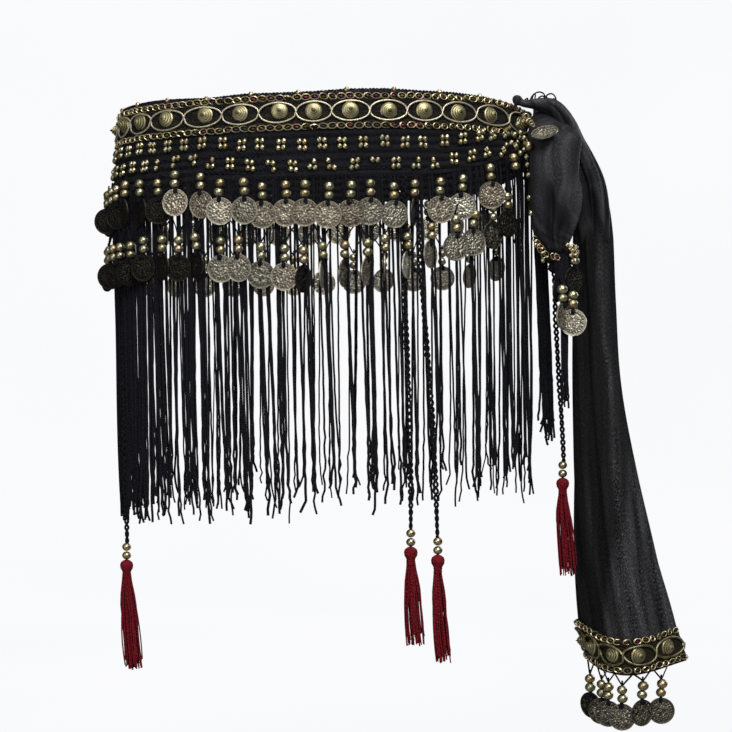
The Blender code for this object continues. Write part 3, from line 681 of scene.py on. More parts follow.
def lathe(name, profile, sides, front=True):
    """A turned shape: a ring extruded and resized along its axis through each (radius, reach), and closed.

    Its axis points to -Y, or up.
    """
    deselect()
    radius, reach = profile[0]
    direction = np.array((0, -1, 0) if front else (0, 0, 1))
    turn = (math.pi / 2, 0, 0) if front else (0, 0, 0)
    bpy.ops.mesh.primitive_circle_add(
        vertices=sides, radius=radius, fill_type="TRIFAN", location=tuple(direction * reach), rotation=turn
    )
    piece = bpy.context.object
    piece.name = name
    bpy.ops.object.transform_apply()
    bpy.ops.object.mode_set(mode="EDIT")
    bpy.ops.mesh.select_mode(type="EDGE")
    bpy.ops.mesh.select_all(action="DESELECT")
    bpy.ops.mesh.select_non_manifold()
    for (before, low), (after, high) in zip(profile, profile[1:]):
        step = tuple(direction * (high - low))
        bpy.ops.mesh.extrude_edges_move(TRANSFORM_OT_translate={"value": step})
        if after > 0:
            grow = after / before
            bpy.ops.transform.resize(value=(grow, grow, grow))
        else:
            bpy.ops.mesh.merge(type="CENTER")
    if profile[-1][0] > 0:
        bpy.ops.mesh.edge_face_add()
    bpy.ops.mesh.select_all(action="SELECT")
    bpy.ops.mesh.normals_make_consistent(inside=False)
    bpy.ops.object.mode_set(mode="OBJECT")
    return piece


def bead_shape(radius, sides, rows, tall=1.0):
    """A round bead with a small hole at each end."""
    hole = 0.16
    inner = (0.35 * radius, 0.7 * radius)
    steps = np.linspace(hole, math.pi - hole, rows)
    profile = [(inner[0], -inner[1])]
    profile += [(radius * math.sin(step), -radius * math.cos(step)) for step in steps]
    profile += [inner]
    profile = [(wide, reach * tall) for wide, reach in profile]
    bead = lathe("bead", profile, sides, front=False)
    return shape_of(bead, lambda points: np.abs(points[:, 2]) < radius * 0.8 * tall)


def cone_shape():
    """A cone stud wound with ridges."""
    ridges = 4
    height = 0.0066
    base = 0.0006
    ridge_rise = 0.0007
    taper = 0.92
    profile = [(STUD_RADIUS, -base), (STUD_RADIUS, base)]
    for ridge in range(ridges):
        share = (ridge + 0.6) / (ridges + 0.6)
        reach = base + height * share
        wide = STUD_RADIUS * (1 - share * taper)
        profile += [(wide + ridge_rise, reach - 0.0007), (wide - ridge_rise, reach - 0.0002)]
    profile.append((0.0, height + 0.0008))
    piece = lathe("cone", profile, 18)

    def ridge_tops(points):
        reach = np.hypot(points[:, 0], points[:, 2])
        up = -points[:, 1] - base
        return (reach + taper * STUD_RADIUS / height * up > STUD_RADIUS - 0.0001).astype(float)

    return shape_of(piece, ridge_tops)


def link_shape(half_width, half_height, radius):
    """An oval chain link that faces the front."""
    deselect()
    bpy.ops.mesh.primitive_torus_add(
        major_segments=10, minor_segments=4, major_radius=half_width - radius, minor_radius=radius,
        rotation=(math.pi / 2, 0, 0),
    )
    piece = bpy.context.object
    bpy.ops.object.transform_apply()
    bpy.ops.object.mode_set(mode="EDIT")
    bpy.ops.mesh.select_all(action="SELECT")
    bpy.ops.transform.resize(value=(1, 1, half_height / half_width))
    bpy.ops.object.mode_set(mode="OBJECT")
    return shape_of(piece)


def sunk_face(piece, side):
    """Insets one face of a coin, to leave its rim standing."""
    bpy.ops.object.mode_set(mode="OBJECT")
    for face in piece.data.polygons:
        face.select = face.normal.y * side > 0.9 and abs(face.center.y - side * COIN_WALL / 2) < 1e-5
    bpy.ops.object.mode_set(mode="EDIT")
    bpy.ops.mesh.select_mode(type="FACE")
    bpy.ops.mesh.inset(thickness=COIN_RIM)
    bpy.ops.mesh.inset(thickness=0.0003)
    bpy.ops.transform.translate(value=(0, -side * COIN_SUNK, 0))


def knob_ring(count, away, radius, scale, turned_out=False):
    """A ring of knobs that stand out of both faces of a coin."""
    for number in range(count):
        turn = 2 * math.pi * number / count
        bpy.ops.mesh.primitive_ico_sphere_add(
            subdivisions=1, radius=radius, location=(away * math.sin(turn), 0, away * math.cos(turn)),
            rotation=(0, turn if turned_out else 0, 0), scale=scale,
        )


def coin_shape():
    """A thin coin that faces the front: a raised rim, a ring of dots and a rosette, on both faces."""
    deselect()
    bpy.ops.mesh.primitive_cylinder_add(
        vertices=30, radius=COIN_RADIUS, depth=COIN_WALL, rotation=(math.pi / 2, 0, 0)
    )
    piece = bpy.context.object
    bpy.ops.object.transform_apply()
    for side in (-1, 1):
        sunk_face(piece, side)
    bpy.ops.mesh.select_all(action="DESELECT")
    knob_ring(16, 0.0080, 0.00075, (1, 0.8, 1))
    knob_ring(8, 0.0040, 0.0022, (0.42, 0.26, 1), turned_out=True)
    knob_ring(1, 0.0, 0.0014, (1, 0.5, 1))
    bpy.ops.object.mode_set(mode="OBJECT")

    def high(points):
        reach = np.hypot(points[:, 0], points[:, 2])
        half = COIN_WALL / 2
        standing = np.clip((np.abs(points[:, 1]) - half * 0.6) / (half * 0.4), 0, 1)
        return 0.8 * standing + 0.2 * (reach > COIN_RADIUS - 0.0011)

    return shape_of(piece, high)


TASSEL_HEAD_PROFILE = (
    # radius, height: the cap, the bound neck and the flare below it
    (0.0009, 0.0008), (0.0028, 0.0), (0.0046, -0.0014), (0.0053, -0.0036), (0.0049, -0.0062),
    (0.0036, -0.0084), (0.0034, -0.0090), (0.0034, -0.0102), (0.0031, -0.0106), (0.0034, -0.0130),
)
BEAD = bead_shape(BEAD_RADIUS, 12, 8, tall=0.9)
SMALL_BEAD = bead_shape(0.0021, 8, 5, tall=1.15)
TIE = bead_shape(0.0017, 7, 4, tall=1.5)
CONE = cone_shape()
CHAIN_LINK = link_shape(0.0040, 0.0026, 0.00055)
COIN = coin_shape()
FLOSS = bead_shape(0.0010, 6, 3)
TASSEL_HEAD = shape_of(lathe("tassel_head", TASSEL_HEAD_PROFILE, 16, front=False))


# --- The crocheted belt ---


def belt_height(distance, share):
    """A share of the way down from the belt's top edge to its bottom edge."""
    top = belt_top(distance)
    return top + (BELT_BOTTOM + belt_edge(distance) - top) * share


def belt_net():
    """Rows of stitches that stand out, with a dip between them."""
    columns, rows = 410, 66
    distance = np.linspace(at(BELT_START), at(BELT_END), columns)[None, :]
    share = np.linspace(0, 1, rows)[:, None]
    height = belt_height(distance, share)
    course = (BELT_TOP - height) / ROW_PITCH
    stitch = np.abs(np.sin(np.pi * (distance / STITCH_PITCH + 0.5 * (np.floor(course) % 2))))
    out = NET_OUT + ROW_RELIEF * np.abs(np.sin(np.pi * course)) ** 0.8 + STITCH_RELIEF * stitch
    out = out + 0.0004 * np.sin(distance * 61 + height * 90) * smoothstep(share * 2)
    piece = cloth("crochet_net", hips(distance, out, height), distance, height, net_yarn, 0.0009)
    stands_for(piece, "black_net", "belt_net")


def course_yarns():
    """A yarn along each course, that wanders a little."""
    distance = np.linspace(at(BELT_START), at(BELT_END), 420)
    for course in range(1, 12):
        share = course / 12
        wave = 0.0009 * np.sin(2 * np.pi * distance / STITCH_PITCH + course)
        drift = 0.0008 * np.sin(distance * 47 + course * 2.1)
        lifted = left_lift(distance) * math.sin(math.pi * share)
        yield hips(distance, 0.0026 + wave, belt_height(distance, share) + wave + drift + lifted)


def edge_yarns():
    """Two yarns looped round each other along the belt's top edge, and two along its bottom edge."""
    distance = np.linspace(at(BELT_START), at(BELT_END), 1100)
    top = belt_top(distance)
    bottom = BELT_BOTTOM + belt_edge(distance)
    for turn in (0, np.pi):
        wave = 2 * np.pi * distance / EDGE_LOOP_PITCH + turn
        yield hips(distance, 0.0014 + 0.0007 * np.cos(wave), top + 0.0003 + 0.0008 * np.sin(wave))
        yield hips(distance, 0.0020 + 0.0008 * np.cos(wave), bottom + 0.0006 + 0.0010 * np.sin(wave))


def belt_yarns():
    courses, edges = list(course_yarns()), list(edge_yarns())
    widths = [0.8] * len(courses) + [0.9] * len(edges)
    piece = yarn("belt_yarns", courses + edges, NET_YARN_RADIUS, net_yarn, rings=0, widths=widths)
    stands_for(piece, "black_net")


def belt_beads():
    """Squares of four small beads in two rows, and a pale bead now and then on the top edge."""
    start, middle, end = at(BELT_START) + 0.02, at(0), at(BELT_END) - 0.004
    under_knot = middle + 0.170
    before = int((middle - start) / SQUARE_PITCH)
    spots, tints, distances = [], [], []
    for row, share in enumerate((0.615, 0.855)):
        for number in range(int((end - start) / SQUARE_PITCH)):
            distance = middle + SQUARE_PITCH * (number + 0.5 * row - before) + chance.normal(0, 0.0006)
            if distance > end:
                continue
            bottom = BELT_BOTTOM + belt_edge(distance)
            lift = left_lift(distance) * (0.75 + 0.25 * row)
            centre = BELT_TOP + (bottom - BELT_TOP) * share + lift + chance.normal(0, 0.0006)
            lean = chance.normal(0, 0.12) + 0.5 * gathered(distance)
            for side, rise in ((-1, -1), (-1, 1), (1, -1), (1, 1)):
                if row and chance.random() < 0.16:
                    continue
                along = distance + 0.0020 * side + 0.0006 * rise * lean * 4
                high = centre + 0.0025 * rise + 0.0025 * side * lean
                if along > under_knot and high > -0.018:
                    continue
                spots.append(hips(along, 0.0042, high))
                distances.append(along)
                tints.append(chance.random())
    for distance in middle + MM * np.arange(-560, 186, 37.5) + 0.016:
        spots.append(hips(distance, 0.0022, belt_top(distance) + 0.0006))
        distances.append(distance)
        tints.append(0.5)
    frames = facing(hips, distances, roll=chance.uniform(-0.5, 0.5, len(spots)))
    piece = copies("belt_beads", [(SMALL_BEAD, frames, np.array(spots), np.array(tints))], brass)
    stands_for(piece, "coin")


# --- Braids ---


def eye_wires(place, start, end, centres, out, middle):
    """Two wires that cross between the studs and bow over and under them."""
    between = (centres[1:] + centres[:-1]) / 2
    crossings = np.concatenate([[start], between, [end]])
    distance = np.linspace(start, end, len(centres) * 16 + 1)
    phase = np.pi * np.interp(distance, crossings, np.arange(len(crossings)))
    bow = EYE_RISE * (np.sign(np.sin(phase)) * np.abs(np.sin(phase)) ** 0.42)
    lift = 0.0006 * np.cos(phase)
    return [place(distance, out + side * lift, middle + side * bow) for side in (1, -1)]


def chain_row(place, start, end, out, height):
    """Oval links that overlap a little, with a floss knot in each."""
    count = round((end - start) / LINK_PITCH)
    distances = start + (end - start) * (np.arange(count) + 0.5) / count
    yaw = chance.normal(0, 0.18, count) + 0.22
    nod = chance.normal(0, 0.25, count)
    roll = chance.normal(0, 0.10, count)
    spots = place(distances, out + chance.normal(0, 0.0001, count), height + chance.normal(0, 0.0002, count))
    links = (CHAIN_LINK, facing(place, distances, yaw, nod, roll), spots, chance.random(count))
    knots = facing(place, distances, roll=np.pi / 2 + chance.normal(0, 0.2, count))
    knots = knots * np.array([1.0, 1.0, 1.7])
    return links, (FLOSS, knots, place(distances, out - 0.0002, height), chance.random(count))


def ribbon(name, place, start, end, out, middle):
    """The dark band under the wires, woven in fine ribs."""
    columns = max(12, round((end - start) / 0.0022))
    rows = 13
    distance = np.linspace(start, end, columns)[None, :]
    height = middle + BRAID_HALF * np.linspace(1, -1, rows)[:, None]
    ribs = 0.0003 * (-1.0) ** np.arange(rows)[:, None]
    return cloth(name, place(distance, out + ribs, height), distance, height, ribbon_yarn, 0.0007)


def braid(name, place, start, end, centres, out, middle, node_name, wire_radius, wire_metal,
          cone_lift=0.0, end_yaw=0.0):
    """A braid with its studs at these distances, all its pieces standing for the same node.

    Its last stud is turned by "end_yaw" and stands out further for it.
    """
    studs = len(centres)
    last = np.arange(studs) == studs - 1
    band = ribbon(f"{name}_band", place, start, end, out + BAND_OUT, middle)
    stands_for(band, "braid", node_name)
    paths = eye_wires(place, start, end, centres, out + WIRE_OUT, middle)
    wires = yarn(f"{name}_wires", paths, wire_radius, wire_metal, rings=1)
    stands_for(wires, "braid", node_name)
    yaw = chance.normal(0, 0.05, studs) + end_yaw * last
    frames = facing(place, centres, yaw, chance.normal(0, 0.05, studs), chance.uniform(0, 6, studs))
    outs = out + STUD_OUT + 0.0030 * abs(end_yaw) * last
    spots = place(centres, outs, middle + cone_lift + chance.normal(0, 0.0003, studs))
    cones = copies(f"{name}_cones", [(CONE, frames, spots, chance.random(studs))], cone_brass, 60)
    stands_for(cones, "braid", node_name)
    rows = [chain_row(place, start, end, out + CHAIN_OUT, middle + side * CHAIN_RISE) for side in (-1, 1)]
    links, knots = zip(*rows)
    stands_for(copies(f"{name}_chains", links, gold_chain, 60), "braid", node_name)
    stands_for(copies(f"{name}_floss", knots, floss, 60), "braid", node_name)


# How far each of the front's studs is from the front's middle, in millimetres. The rest are evenly spaced.
FRONT_STUDS = (-186, -161, -131, -94.2, -64.4, -33.3, -7, 21.7, 51.2, 79.8, 108.2, 140.1, 178.5)


def belt_braid():
    start, end = at(BRAID_START), at(BRAID_END)
    front = at(0) + np.array(FRONT_STUDS) * MM
    count = int((front[0] - start) / STUD_PITCH)
    back = front[0] - STUD_PITCH * np.arange(count, 0, -1)
    centres = np.concatenate([back, front]) + chance.normal(0, 0.0003, count + len(front))
    lifts = 0.0014 * smoothstep((at(0) + 0.06 - centres) / 0.12)
    braid("belt_braid", braid_line, start, end, centres, BRAID_OUT, 0.0, "belt_braid", WIRE_RADIUS,
          gold_wire, cone_lift=lifts, end_yaw=-0.45)


# --- Drops of beads and coins ---

# A row for each drop of the belt's front: how far it is from the front's middle, how much higher than its row
# it hangs, how far its coin is turned, how much darker the coin is painted, and how far the drop stands out,
# so that one coin lies over the next. Lengths are in millimetres and turns in degrees. The shade is a painted
# shade and reflection, and a painted highlight where it is below nought.
UPPER_DROPS = (
    # along, lift, turn, shade, forward
    (-226, 4, 40, 2.2, 0), (-211, 5, 66, 2.2, 0), (-196, 6, 8, 2.2, 0), (-184.5, 7, 30, 2.2, 0),
    (-170, 9, -16, 2.2, 0), (-150, 8, -20, 2.3, 0.6), (-132, 7, 30, 2.2, 0), (-114.5, 12, 10, -0.2, 1.8),
    (-93, 9, -6, 0.3, 0), (-77, 3, 12, -0.6, 1.8), (-58, 2.5, -2, 0.2, 3.4), (-44.5, -1.3, 2, 0.1, 1.8),
    (-27, -0.6, -2, 0.0, 0), (-13, -1, 3, 0.1, 1.8), (4, -3.2, -3, 0.0, 3.4), (21, -2.5, 3, 0.4, 1.8),
    (35, -1.2, -5, 0.15, 0), (53, -4, 4, 0.0, 1.8), (69, -2, 62, 1.6, 0), (88.5, -2, -8, 0.05, 1.8),
    (107.5, -2.6, -28, -0.8, 0), (131.8, 0.4, -38, 0.2, 1.8), (149, -25.6, 0, 1.4, 1.2),
)
LOWER_DROPS = (
    # along, lift, turn, shade, forward
    (-219, 3, 30, 1.8, 0), (-204, 4, 62, 1.8, 0), (-191, 4, 26, 1.8, 0), (-178, 4.5, -12, 1.8, 0),
    (-163, 4.5, 84, 1.8, 0), (-147, 7.5, 20, 1.8, 0), (-128, 7, -24, 1.8, 0), (-113, 5.5, 14, 1.8, 0),
    (-98, 7, -32, 1.7, 0), (-77, 3, 8, 0.2, 0), (-62.5, 3, -10, 0.2, 1.3), (-46, -2.8, 10, 0.5, 0),
    (-28.5, -5, -8, 0.0, 0), (-14, -7, 60, 1.5, 0), (0, -4, 82, 0.5, 0), (16.5, -3.7, 64, 0.8, 0),
    (33.5, -2.6, 58, 0.2, 0), (46.5, 0.6, 80, 1.0, 0), (64, 1.8, 54, -0.1, 0), (82, 8.5, 41, 0.5, 0),
    (100.5, 10.6, 0, -0.1, 3.4), (117, 10.2, -4, 0.0, 1.6), (135.5, 10.4, 4, 0.9, 0),
)


def coin_threads(place, distance, out, root, turn):
    """The thread through a drop's beads, and the two ends that hold its coin from either side."""
    low = root - 2 * BEAD_PITCH
    yield place(np.full(6, distance), out, np.linspace(root + 0.004, low - 0.001, 6))
    for side in (-1, 1):
        away = np.array([0.0, 0.0011, 0.0013, 0.0]) * side
        across = np.array([0.0, 0.0006, 0.0002, 0.0]) * side
        along = distance + across * math.cos(turn) + away * math.sin(turn)
        yield place(along, out + away * math.cos(turn), low - np.array([0.0, 0.0015, 0.0034, 0.0042]))


def drops(name, place, distances, outs, roots, turns, node_name, shade=0.0, wide=1.0):
    """Two beads and a coin below each root. Returns the paths of its threads.

    The beads are "wide" times as wide as usual, and the coins are painted darker by their "shade": a painted
    shade and reflection, and a painted highlight where it is below nought.
    """
    count = len(distances)
    outs = np.broadcast_to(outs, count)
    turns = np.radians(turns)
    sway = chance.normal(0, 0.0004, (2, count))
    tint = chance.random((3, count))
    scale = np.array([wide, wide, 0.3 + 0.7 * wide])
    beads = []
    for number in range(2):
        spots = place(distances + sway[number], outs, roots - BEAD_PITCH * (number + 0.5))
        frames = facing(place, distances, roll=chance.normal(0, 0.12, count))
        size = 1 + chance.normal(0, 0.03, count)
        beads.append((BEAD, frames * size[:, None, None] * scale, spots, tint[number]))
    stands_for(copies(f"{name}_beads", beads, brass), "coin", node_name)
    level = roots - 2 * BEAD_PITCH - COIN_GAP - COIN_RADIUS
    spots = place(distances, outs + chance.normal(0, 0.0007, count), level)
    swing = chance.normal(0, 0.09, count)
    frames = facing(place, distances, turns, chance.normal(0, 0.05, count) + 0.03, swing)
    # The coin's tint is a random tone, less its painted shade and reflection.
    coins = [(COIN, frames, spots, 0.35 + 0.3 * tint[2] - shade)]
    stands_for(copies(f"{name}_coins", coins, pewter, 30), "coin", node_name)
    ties = []
    for side in (-1, 1):
        hole = np.array([0.0, 0.0009 * side, COIN_RADIUS - COIN_HOLE])
        ties.append((TIE, frames, spots + np.einsum("nij,j->ni", frames, hole), 0.0))
    stands_for(copies(f"{name}_ties", ties, fringe_yarn), "black_net")
    threads = []
    for drop in zip(distances, outs, roots, turns):
        threads += coin_threads(place, *drop)
    return threads


def spaced(start, end, pitch):
    count = round((end - start) / pitch)
    return start + (end - start) * np.arange(count + 1) / count


def upper_root(distance):
    return COIN_ROW_TOP + belt_edge(distance)


def lower_root(distance):
    return COIN_ROW_TOP - LOWER_THREAD + belt_edge(distance) + 0.004 * gathered(distance)


def front_row(name, rows, root, out):
    """One row of the front's drops. Returns its places, its roots and the paths of its threads."""
    along, lift, turn, shade, forward = np.array(rows, float).T
    distances = at(0) + along * MM
    roots = root(distances) + lift * MM
    made = drops(f"front_{name}", hips, distances, out + forward * MM, roots, turn,
                 f"coins_{name}_front", shade)
    return distances, roots, made


def back_row(name, distances, roots, out, spread):
    """One row of the back's drops, whose coins are turned either way."""
    turns = chance.normal(0, spread, len(distances))
    return drops(f"back_{name}", hips, distances, out, roots, turns, f"coins_{name}_back")


def belt_drops():
    """Both rows, front and back, and the threads that carry them."""
    _, _, threads = front_row("upper", UPPER_DROPS, upper_root, 0.0070)
    lower, roots, more = front_row("lower", LOWER_DROPS, lower_root, 0.0066)
    threads += more + zigzag(lower, roots)
    back = spaced(at(-252), at(-104), 0.026)
    threads += back_row("upper", back, upper_root(back), 0.0078, 16)
    gaps = (back[1:] + back[:-1]) / 2
    threads += back_row("lower", gaps, lower_root(gaps), 0.0068, 18)
    threads += zigzag(gaps, lower_root(gaps))
    stands_for(yarn("drop_threads", threads, DROP_THREAD_RADIUS, fringe_yarn, rings=0), "black_net")


def zigzag(lower, roots):
    """Threads from the belt down between the upper drops, that meet in a V at each lower drop."""
    outs = np.array([0.0068, 0.0064, 0.0054, 0.0046, 0.0042, 0.0026])
    made = []
    for distance, low in zip(lower, roots):
        edge = upper_root(distance)
        halfway = (low + edge) / 2 + 0.007
        heights = np.array([low, low + 0.002, low + 0.008, low + 0.014, halfway, edge + 0.002])
        for side in (-1, 1):
            along = np.array([0, 0.15, 0.5, 1.0, 1.0, 1.0]) * side * chance.uniform(0.006, 0.010)
            made.append(hips(distance + along, outs, heights))
    return made


# --- The fringe ---


def strand_path(place, distance, out, top, end, lean, wild=1.0, inward=0.0):
    """A length of yarn that hangs straight down to a kinked and curled end."""
    even = np.linspace(0, 1, 34)
    share = even * (1.35 - 0.35 * even)
    loose = smoothstep((share - 0.70) / 0.30)
    along = distance + lean * share
    for waves in (1.0, 2.3, 4.1, 9.0):
        swing = wild * (0.0005 + 0.0013 * loose) / waves * chance.normal()
        along = along + swing * np.sin(np.pi * waves * share + chance.uniform(0, 6)) * share
    sway = 0.0012 * chance.normal()
    away = out - inward * share + sway * np.sin(np.pi * 1.7 * share + chance.uniform(0, 6)) * share
    kinks = chance.normal(0, wild, len(even)) * (0.00012 + 0.00045 * loose)
    tip = np.clip((share - 0.93) / 0.07, 0, 1) ** 2
    curl = np.clip(chance.normal(0, 0.0022), -0.0036, 0.0036)
    height = top + (end - top) * share + np.abs(curl) * 0.5 * tip
    return place(along + kinks + curl * tip, away, height)


def locks(distance):
    """How far a strand's foot is drawn towards its neighbours', which gathers the fringe's ends in locks."""
    return -0.0026 * np.sin(2 * np.pi * distance / 0.0195 + 2 * np.sin(distance * 60))


def tufts(start, end, pitch):
    """The middles of the tufts between two places, about a pitch apart, and what their pitch comes to."""
    count = round((end - start) / pitch)
    pitch = (end - start) / count
    return start + pitch * (np.arange(count) + 0.5), pitch


def fringe_front():
    """Thick at the left, and thinner and shorter towards the knot."""
    middles, pitch = tufts(at(-98), at(66), FRONT_TUFT_PITCH)
    paths, widths = [], []
    for number, middle in enumerate(middles):
        share = number / len(middles)
        hem = FRONT_FRINGE_END + FRINGE_RISE * max(0.0, share - 0.5) * 2
        if share < 0.24:
            strands = 5
        else:
            strands = (2 if share < 0.5 else 1) + int(chance.random() < 0.5)
        for _ in range(strands):
            distance = middle + chance.uniform(-0.5, 0.5) * pitch
            low = hem + chance.uniform(-0.010, 0.014)
            if chance.random() < 0.05:
                low -= chance.uniform(0.004, 0.012)
            lean = 0.0078 + locks(distance) + chance.normal(0, 0.0007)
            out = 0.0013 + chance.uniform(-0.0004, 0.0022)
            inward = FRINGE_INWARD * smoothstep((at(-66) - distance) / 0.03)
            top = FRINGE_TOP + belt_edge(distance)
            paths.append(strand_path(hips, distance, out, top, low, lean, inward=inward))
            widths.append(chance.uniform(0.8, 1.15))
    for angle in (68.5, 70.2):
        low = -0.284 + chance.uniform(-0.008, 0.008)
        top = FRINGE_TOP + belt_edge(at(angle))
        paths.append(strand_path(hips, at(angle), 0.0013, top, low, 0.0050))
        widths.append(1.1)
    piece = yarn("strands_front", paths, STRAND_RADIUS, fringe_yarn, rings=0, widths=widths)
    stands_for(piece, "black_fringe", "fringe_front")


def fringe_back():
    middles, _ = tufts(at(-262), at(-99), BACK_TUFT_PITCH)
    paths, widths = [], []
    for middle in middles:
        low = BACK_FRINGE_END + chance.uniform(-0.010, 0.010)
        for _ in range(1 + int(chance.random() < 0.6)):
            distance = middle + chance.normal(0, 0.0012)
            lean = locks(distance) + chance.normal(0, 0.0010)
            ragged = low + chance.uniform(-0.008, 0.008)
            inward = FRINGE_INWARD * smoothstep((distance - at(-130)) / 0.04)
            top = FRINGE_TOP + belt_edge(distance)
            paths.append(strand_path(hips, distance, 0.0013, top, ragged, lean, inward=inward))
            widths.append(chance.uniform(0.8, 1.15))
    piece = yarn("strands_back", paths, FINE_STRAND_RADIUS, fringe_yarn, rings=0, widths=widths)
    stands_for(piece, "black_fringe", "fringe_back")


def fringe_knot():
    """A narrow bunch of strands that hangs from behind the knot."""
    place = follow([(0.1650, -0.037), (0.1965, -0.026)])
    count = 24
    paths = []
    for number in range(count):
        distance = 0.0092 * (number + 0.5) / count
        low = KNOT_FRINGE_END + chance.uniform(-0.009, 0.016)
        out = 0.001 + chance.uniform(-0.0015, 0.0015)
        paths.append(strand_path(place, distance, out, -0.0225, low, chance.normal(0.0098, 0.0008), wild=0.8))
    piece = yarn("strands_knot", paths, STRAND_RADIUS, fringe_yarn, rings=0)
    stands_for(piece, "black_fringe", "fringe_knot")


# --- Cords and tassels ---

# Tassels: the hip angle of each cord's root, the heights of its upper bead and of its skirt's end, how far it
# hangs off its root's plumb line and how far its skirt leans.
BELT_TASSELS = (
    # name, angle, bead, end, off, slant
    ("left", -67.5, -0.338, -0.435, 0.0032, 0.0055),
    ("middle", 20.6, -0.3216, -0.407, 0.0062, 0.0038),
    ("right", 23.6, -0.328, -0.4195, 0.0185, 0.0052),
)
PLAIT_PITCH = 0.0052
TASSEL_BEAD_RADIUS = 0.0036
TASSEL_HEAD_DROP = 0.0108
TASSEL_NECK_DROP = 0.0095


def plait(x, foot_x, y, top, bottom):
    """Two yarns that cross and cross again, as in a crocheted chain."""
    turns = (top - bottom) / PLAIT_PITCH
    share = np.linspace(0, 1, int(turns * 8))
    height = top + (bottom - top) * share
    wave = np.pi * turns * share
    middle = x + (foot_x - x) * share**0.8 + 0.0008 * np.sin(share * 7 + x * 40)
    wide = 0.0013 + 0.00025 * np.sin(share * 31 + x * 90) - 0.0004 * smoothstep((share - 0.85) / 0.15)
    across = wide * np.sin(wave)
    deep = 0.0009 * np.cos(2 * wave)
    return [np.column_stack([middle + side * across, y + side * deep, height]) for side in (1, -1)]


def skirt_threads(x, y, top, end, slant):
    """Threads that hang from a tassel's neck, fuller below it. Returns their paths and their widths."""
    share = np.linspace(0, 1, 9)
    reach = 0.0030 + 0.0030 * smoothstep(share * 2.2) + 0.0010 * share
    lean = slant * share**1.3
    paths, widths = [], []
    for _ in range(64):
        turn = chance.uniform(0, 2 * np.pi)
        radius = reach * np.sqrt(chance.random())
        low = end + chance.uniform(-0.001, 0.009)
        bend = chance.normal(0, 0.0006) * np.sin(np.pi * share * 2)
        across = x + radius * np.cos(turn) + lean + bend
        deep = y + radius * np.sin(turn) * 0.8 + bend
        paths.append(np.column_stack([across, deep, top + (low - top) * share]))
        widths.append(chance.uniform(0.8, 1.2))
    return paths, widths


def tassel(name, root, bead, end, off, slant):
    """A plaited cord from a root, then two beads and a tassel."""
    x, y, top = root
    yarns = plait(x, x + off, y, top, bead + 0.003)
    cord = yarn(f"cord_{name}", yarns, STRAND_RADIUS, fringe_yarn, rings=1)
    stands_for(cord, "black_fringe", f"tassel_cord_{name}")
    x = x + off
    spots = np.array([(x, y, bead), (x, y, bead - BEAD_PITCH)])
    frames = np.repeat(np.eye(3)[None], 2, axis=0) * (TASSEL_BEAD_RADIUS / BEAD_RADIUS)
    stands_for(copies(f"tassel_beads_{name}", [(BEAD, frames, spots, chance.random(2))], brass), "coin")
    head = bead - TASSEL_HEAD_DROP
    shape = [(TASSEL_HEAD, np.eye(3)[None], np.array([(x, y, head)]), 0.5)]
    stands_for(copies(f"tassel_head_{name}", shape, crimson, 60), "tassel_red", f"tassel_{name}")
    paths, widths = skirt_threads(x, y, head - TASSEL_NECK_DROP, end, slant)
    skirt = yarn(f"tassel_skirt_{name}", paths, TASSEL_THREAD_RADIUS, crimson, rings=0, widths=widths)
    stands_for(skirt, "tassel_red", f"tassel_{name}")


def tassels():
    for name, angle, *rest in BELT_TASSELS:
        tassel(name, hips(at(angle), 0.0034, -0.050), *rest)
    tassel("knot", (0.1790, -0.0300, -0.024), -0.2737, -0.362, 0.0122, 0.0042)


# --- The scarf ---

# The tail's sections, in millimetres: four places round each, and how deep its folds are there.
TAIL_SECTIONS = (
    # height, back (x, y), left (x, y), front (x, y), right (x, y), folds
    (10, (186, -19), (183, -24), (184, -33), (188, -34), 0.0),
    (-4, (200, -16), (194, -24), (195, -36), (199.5, -35), 0.2),
    (-16, (209, -10), (199, -20), (202, -39), (208, -36), 0.4),
    (-40, (218, -4), (201, -18), (207, -40), (220, -34), 1.0),
    (-65, (223, -2), (202, -15), (208, -40), (228.3, -32), 1.4),
    (-90, (226, 0), (202, -14), (209, -39), (232, -30), 1.6),
    (-145, (228, 2), (201.5, -12), (212, -42), (234.5, -28), 2.4),
    (-210, (230, 6), (201, -8), (215, -44), (238.8, -28), 3.0),
    (-280, (236, 12), (201.3, -2), (220, -48), (251.6, -28), 3.0),
    (-350, (240, 18), (203, 4), (227, -54), (268, -29), 2.4),
    (-403, (243, 25), (207.5, 6), (237.5, -58.5), (282.6, -30), 0.6),
    (-432, (243, 25), (215.5, -2), (239, -58.5), (291, -30), 0.0),
)
TAIL_FOLDS = 2.5
HEM_BOTTOM = -0.430


def through(points, where):
    """Points on a smooth curve through a few points, at places counted from 0 in steps of one point."""
    points = np.asarray(points, float)
    ends = np.concatenate([[2 * points[0] - points[1]], points, [2 * points[-1] - points[-2]]])
    first = np.minimum(where.astype(int), len(points) - 2)
    t = (where - first).reshape((-1,) + (1,) * (points.ndim - 1))
    a, b, c, d = (ends[first + step] for step in range(4))
    return 0.5 * (2 * b + (c - a) * t + (2 * a - 5 * b + 4 * c - d) * t**2 + (3 * b - a - 3 * c + d) * t**3)


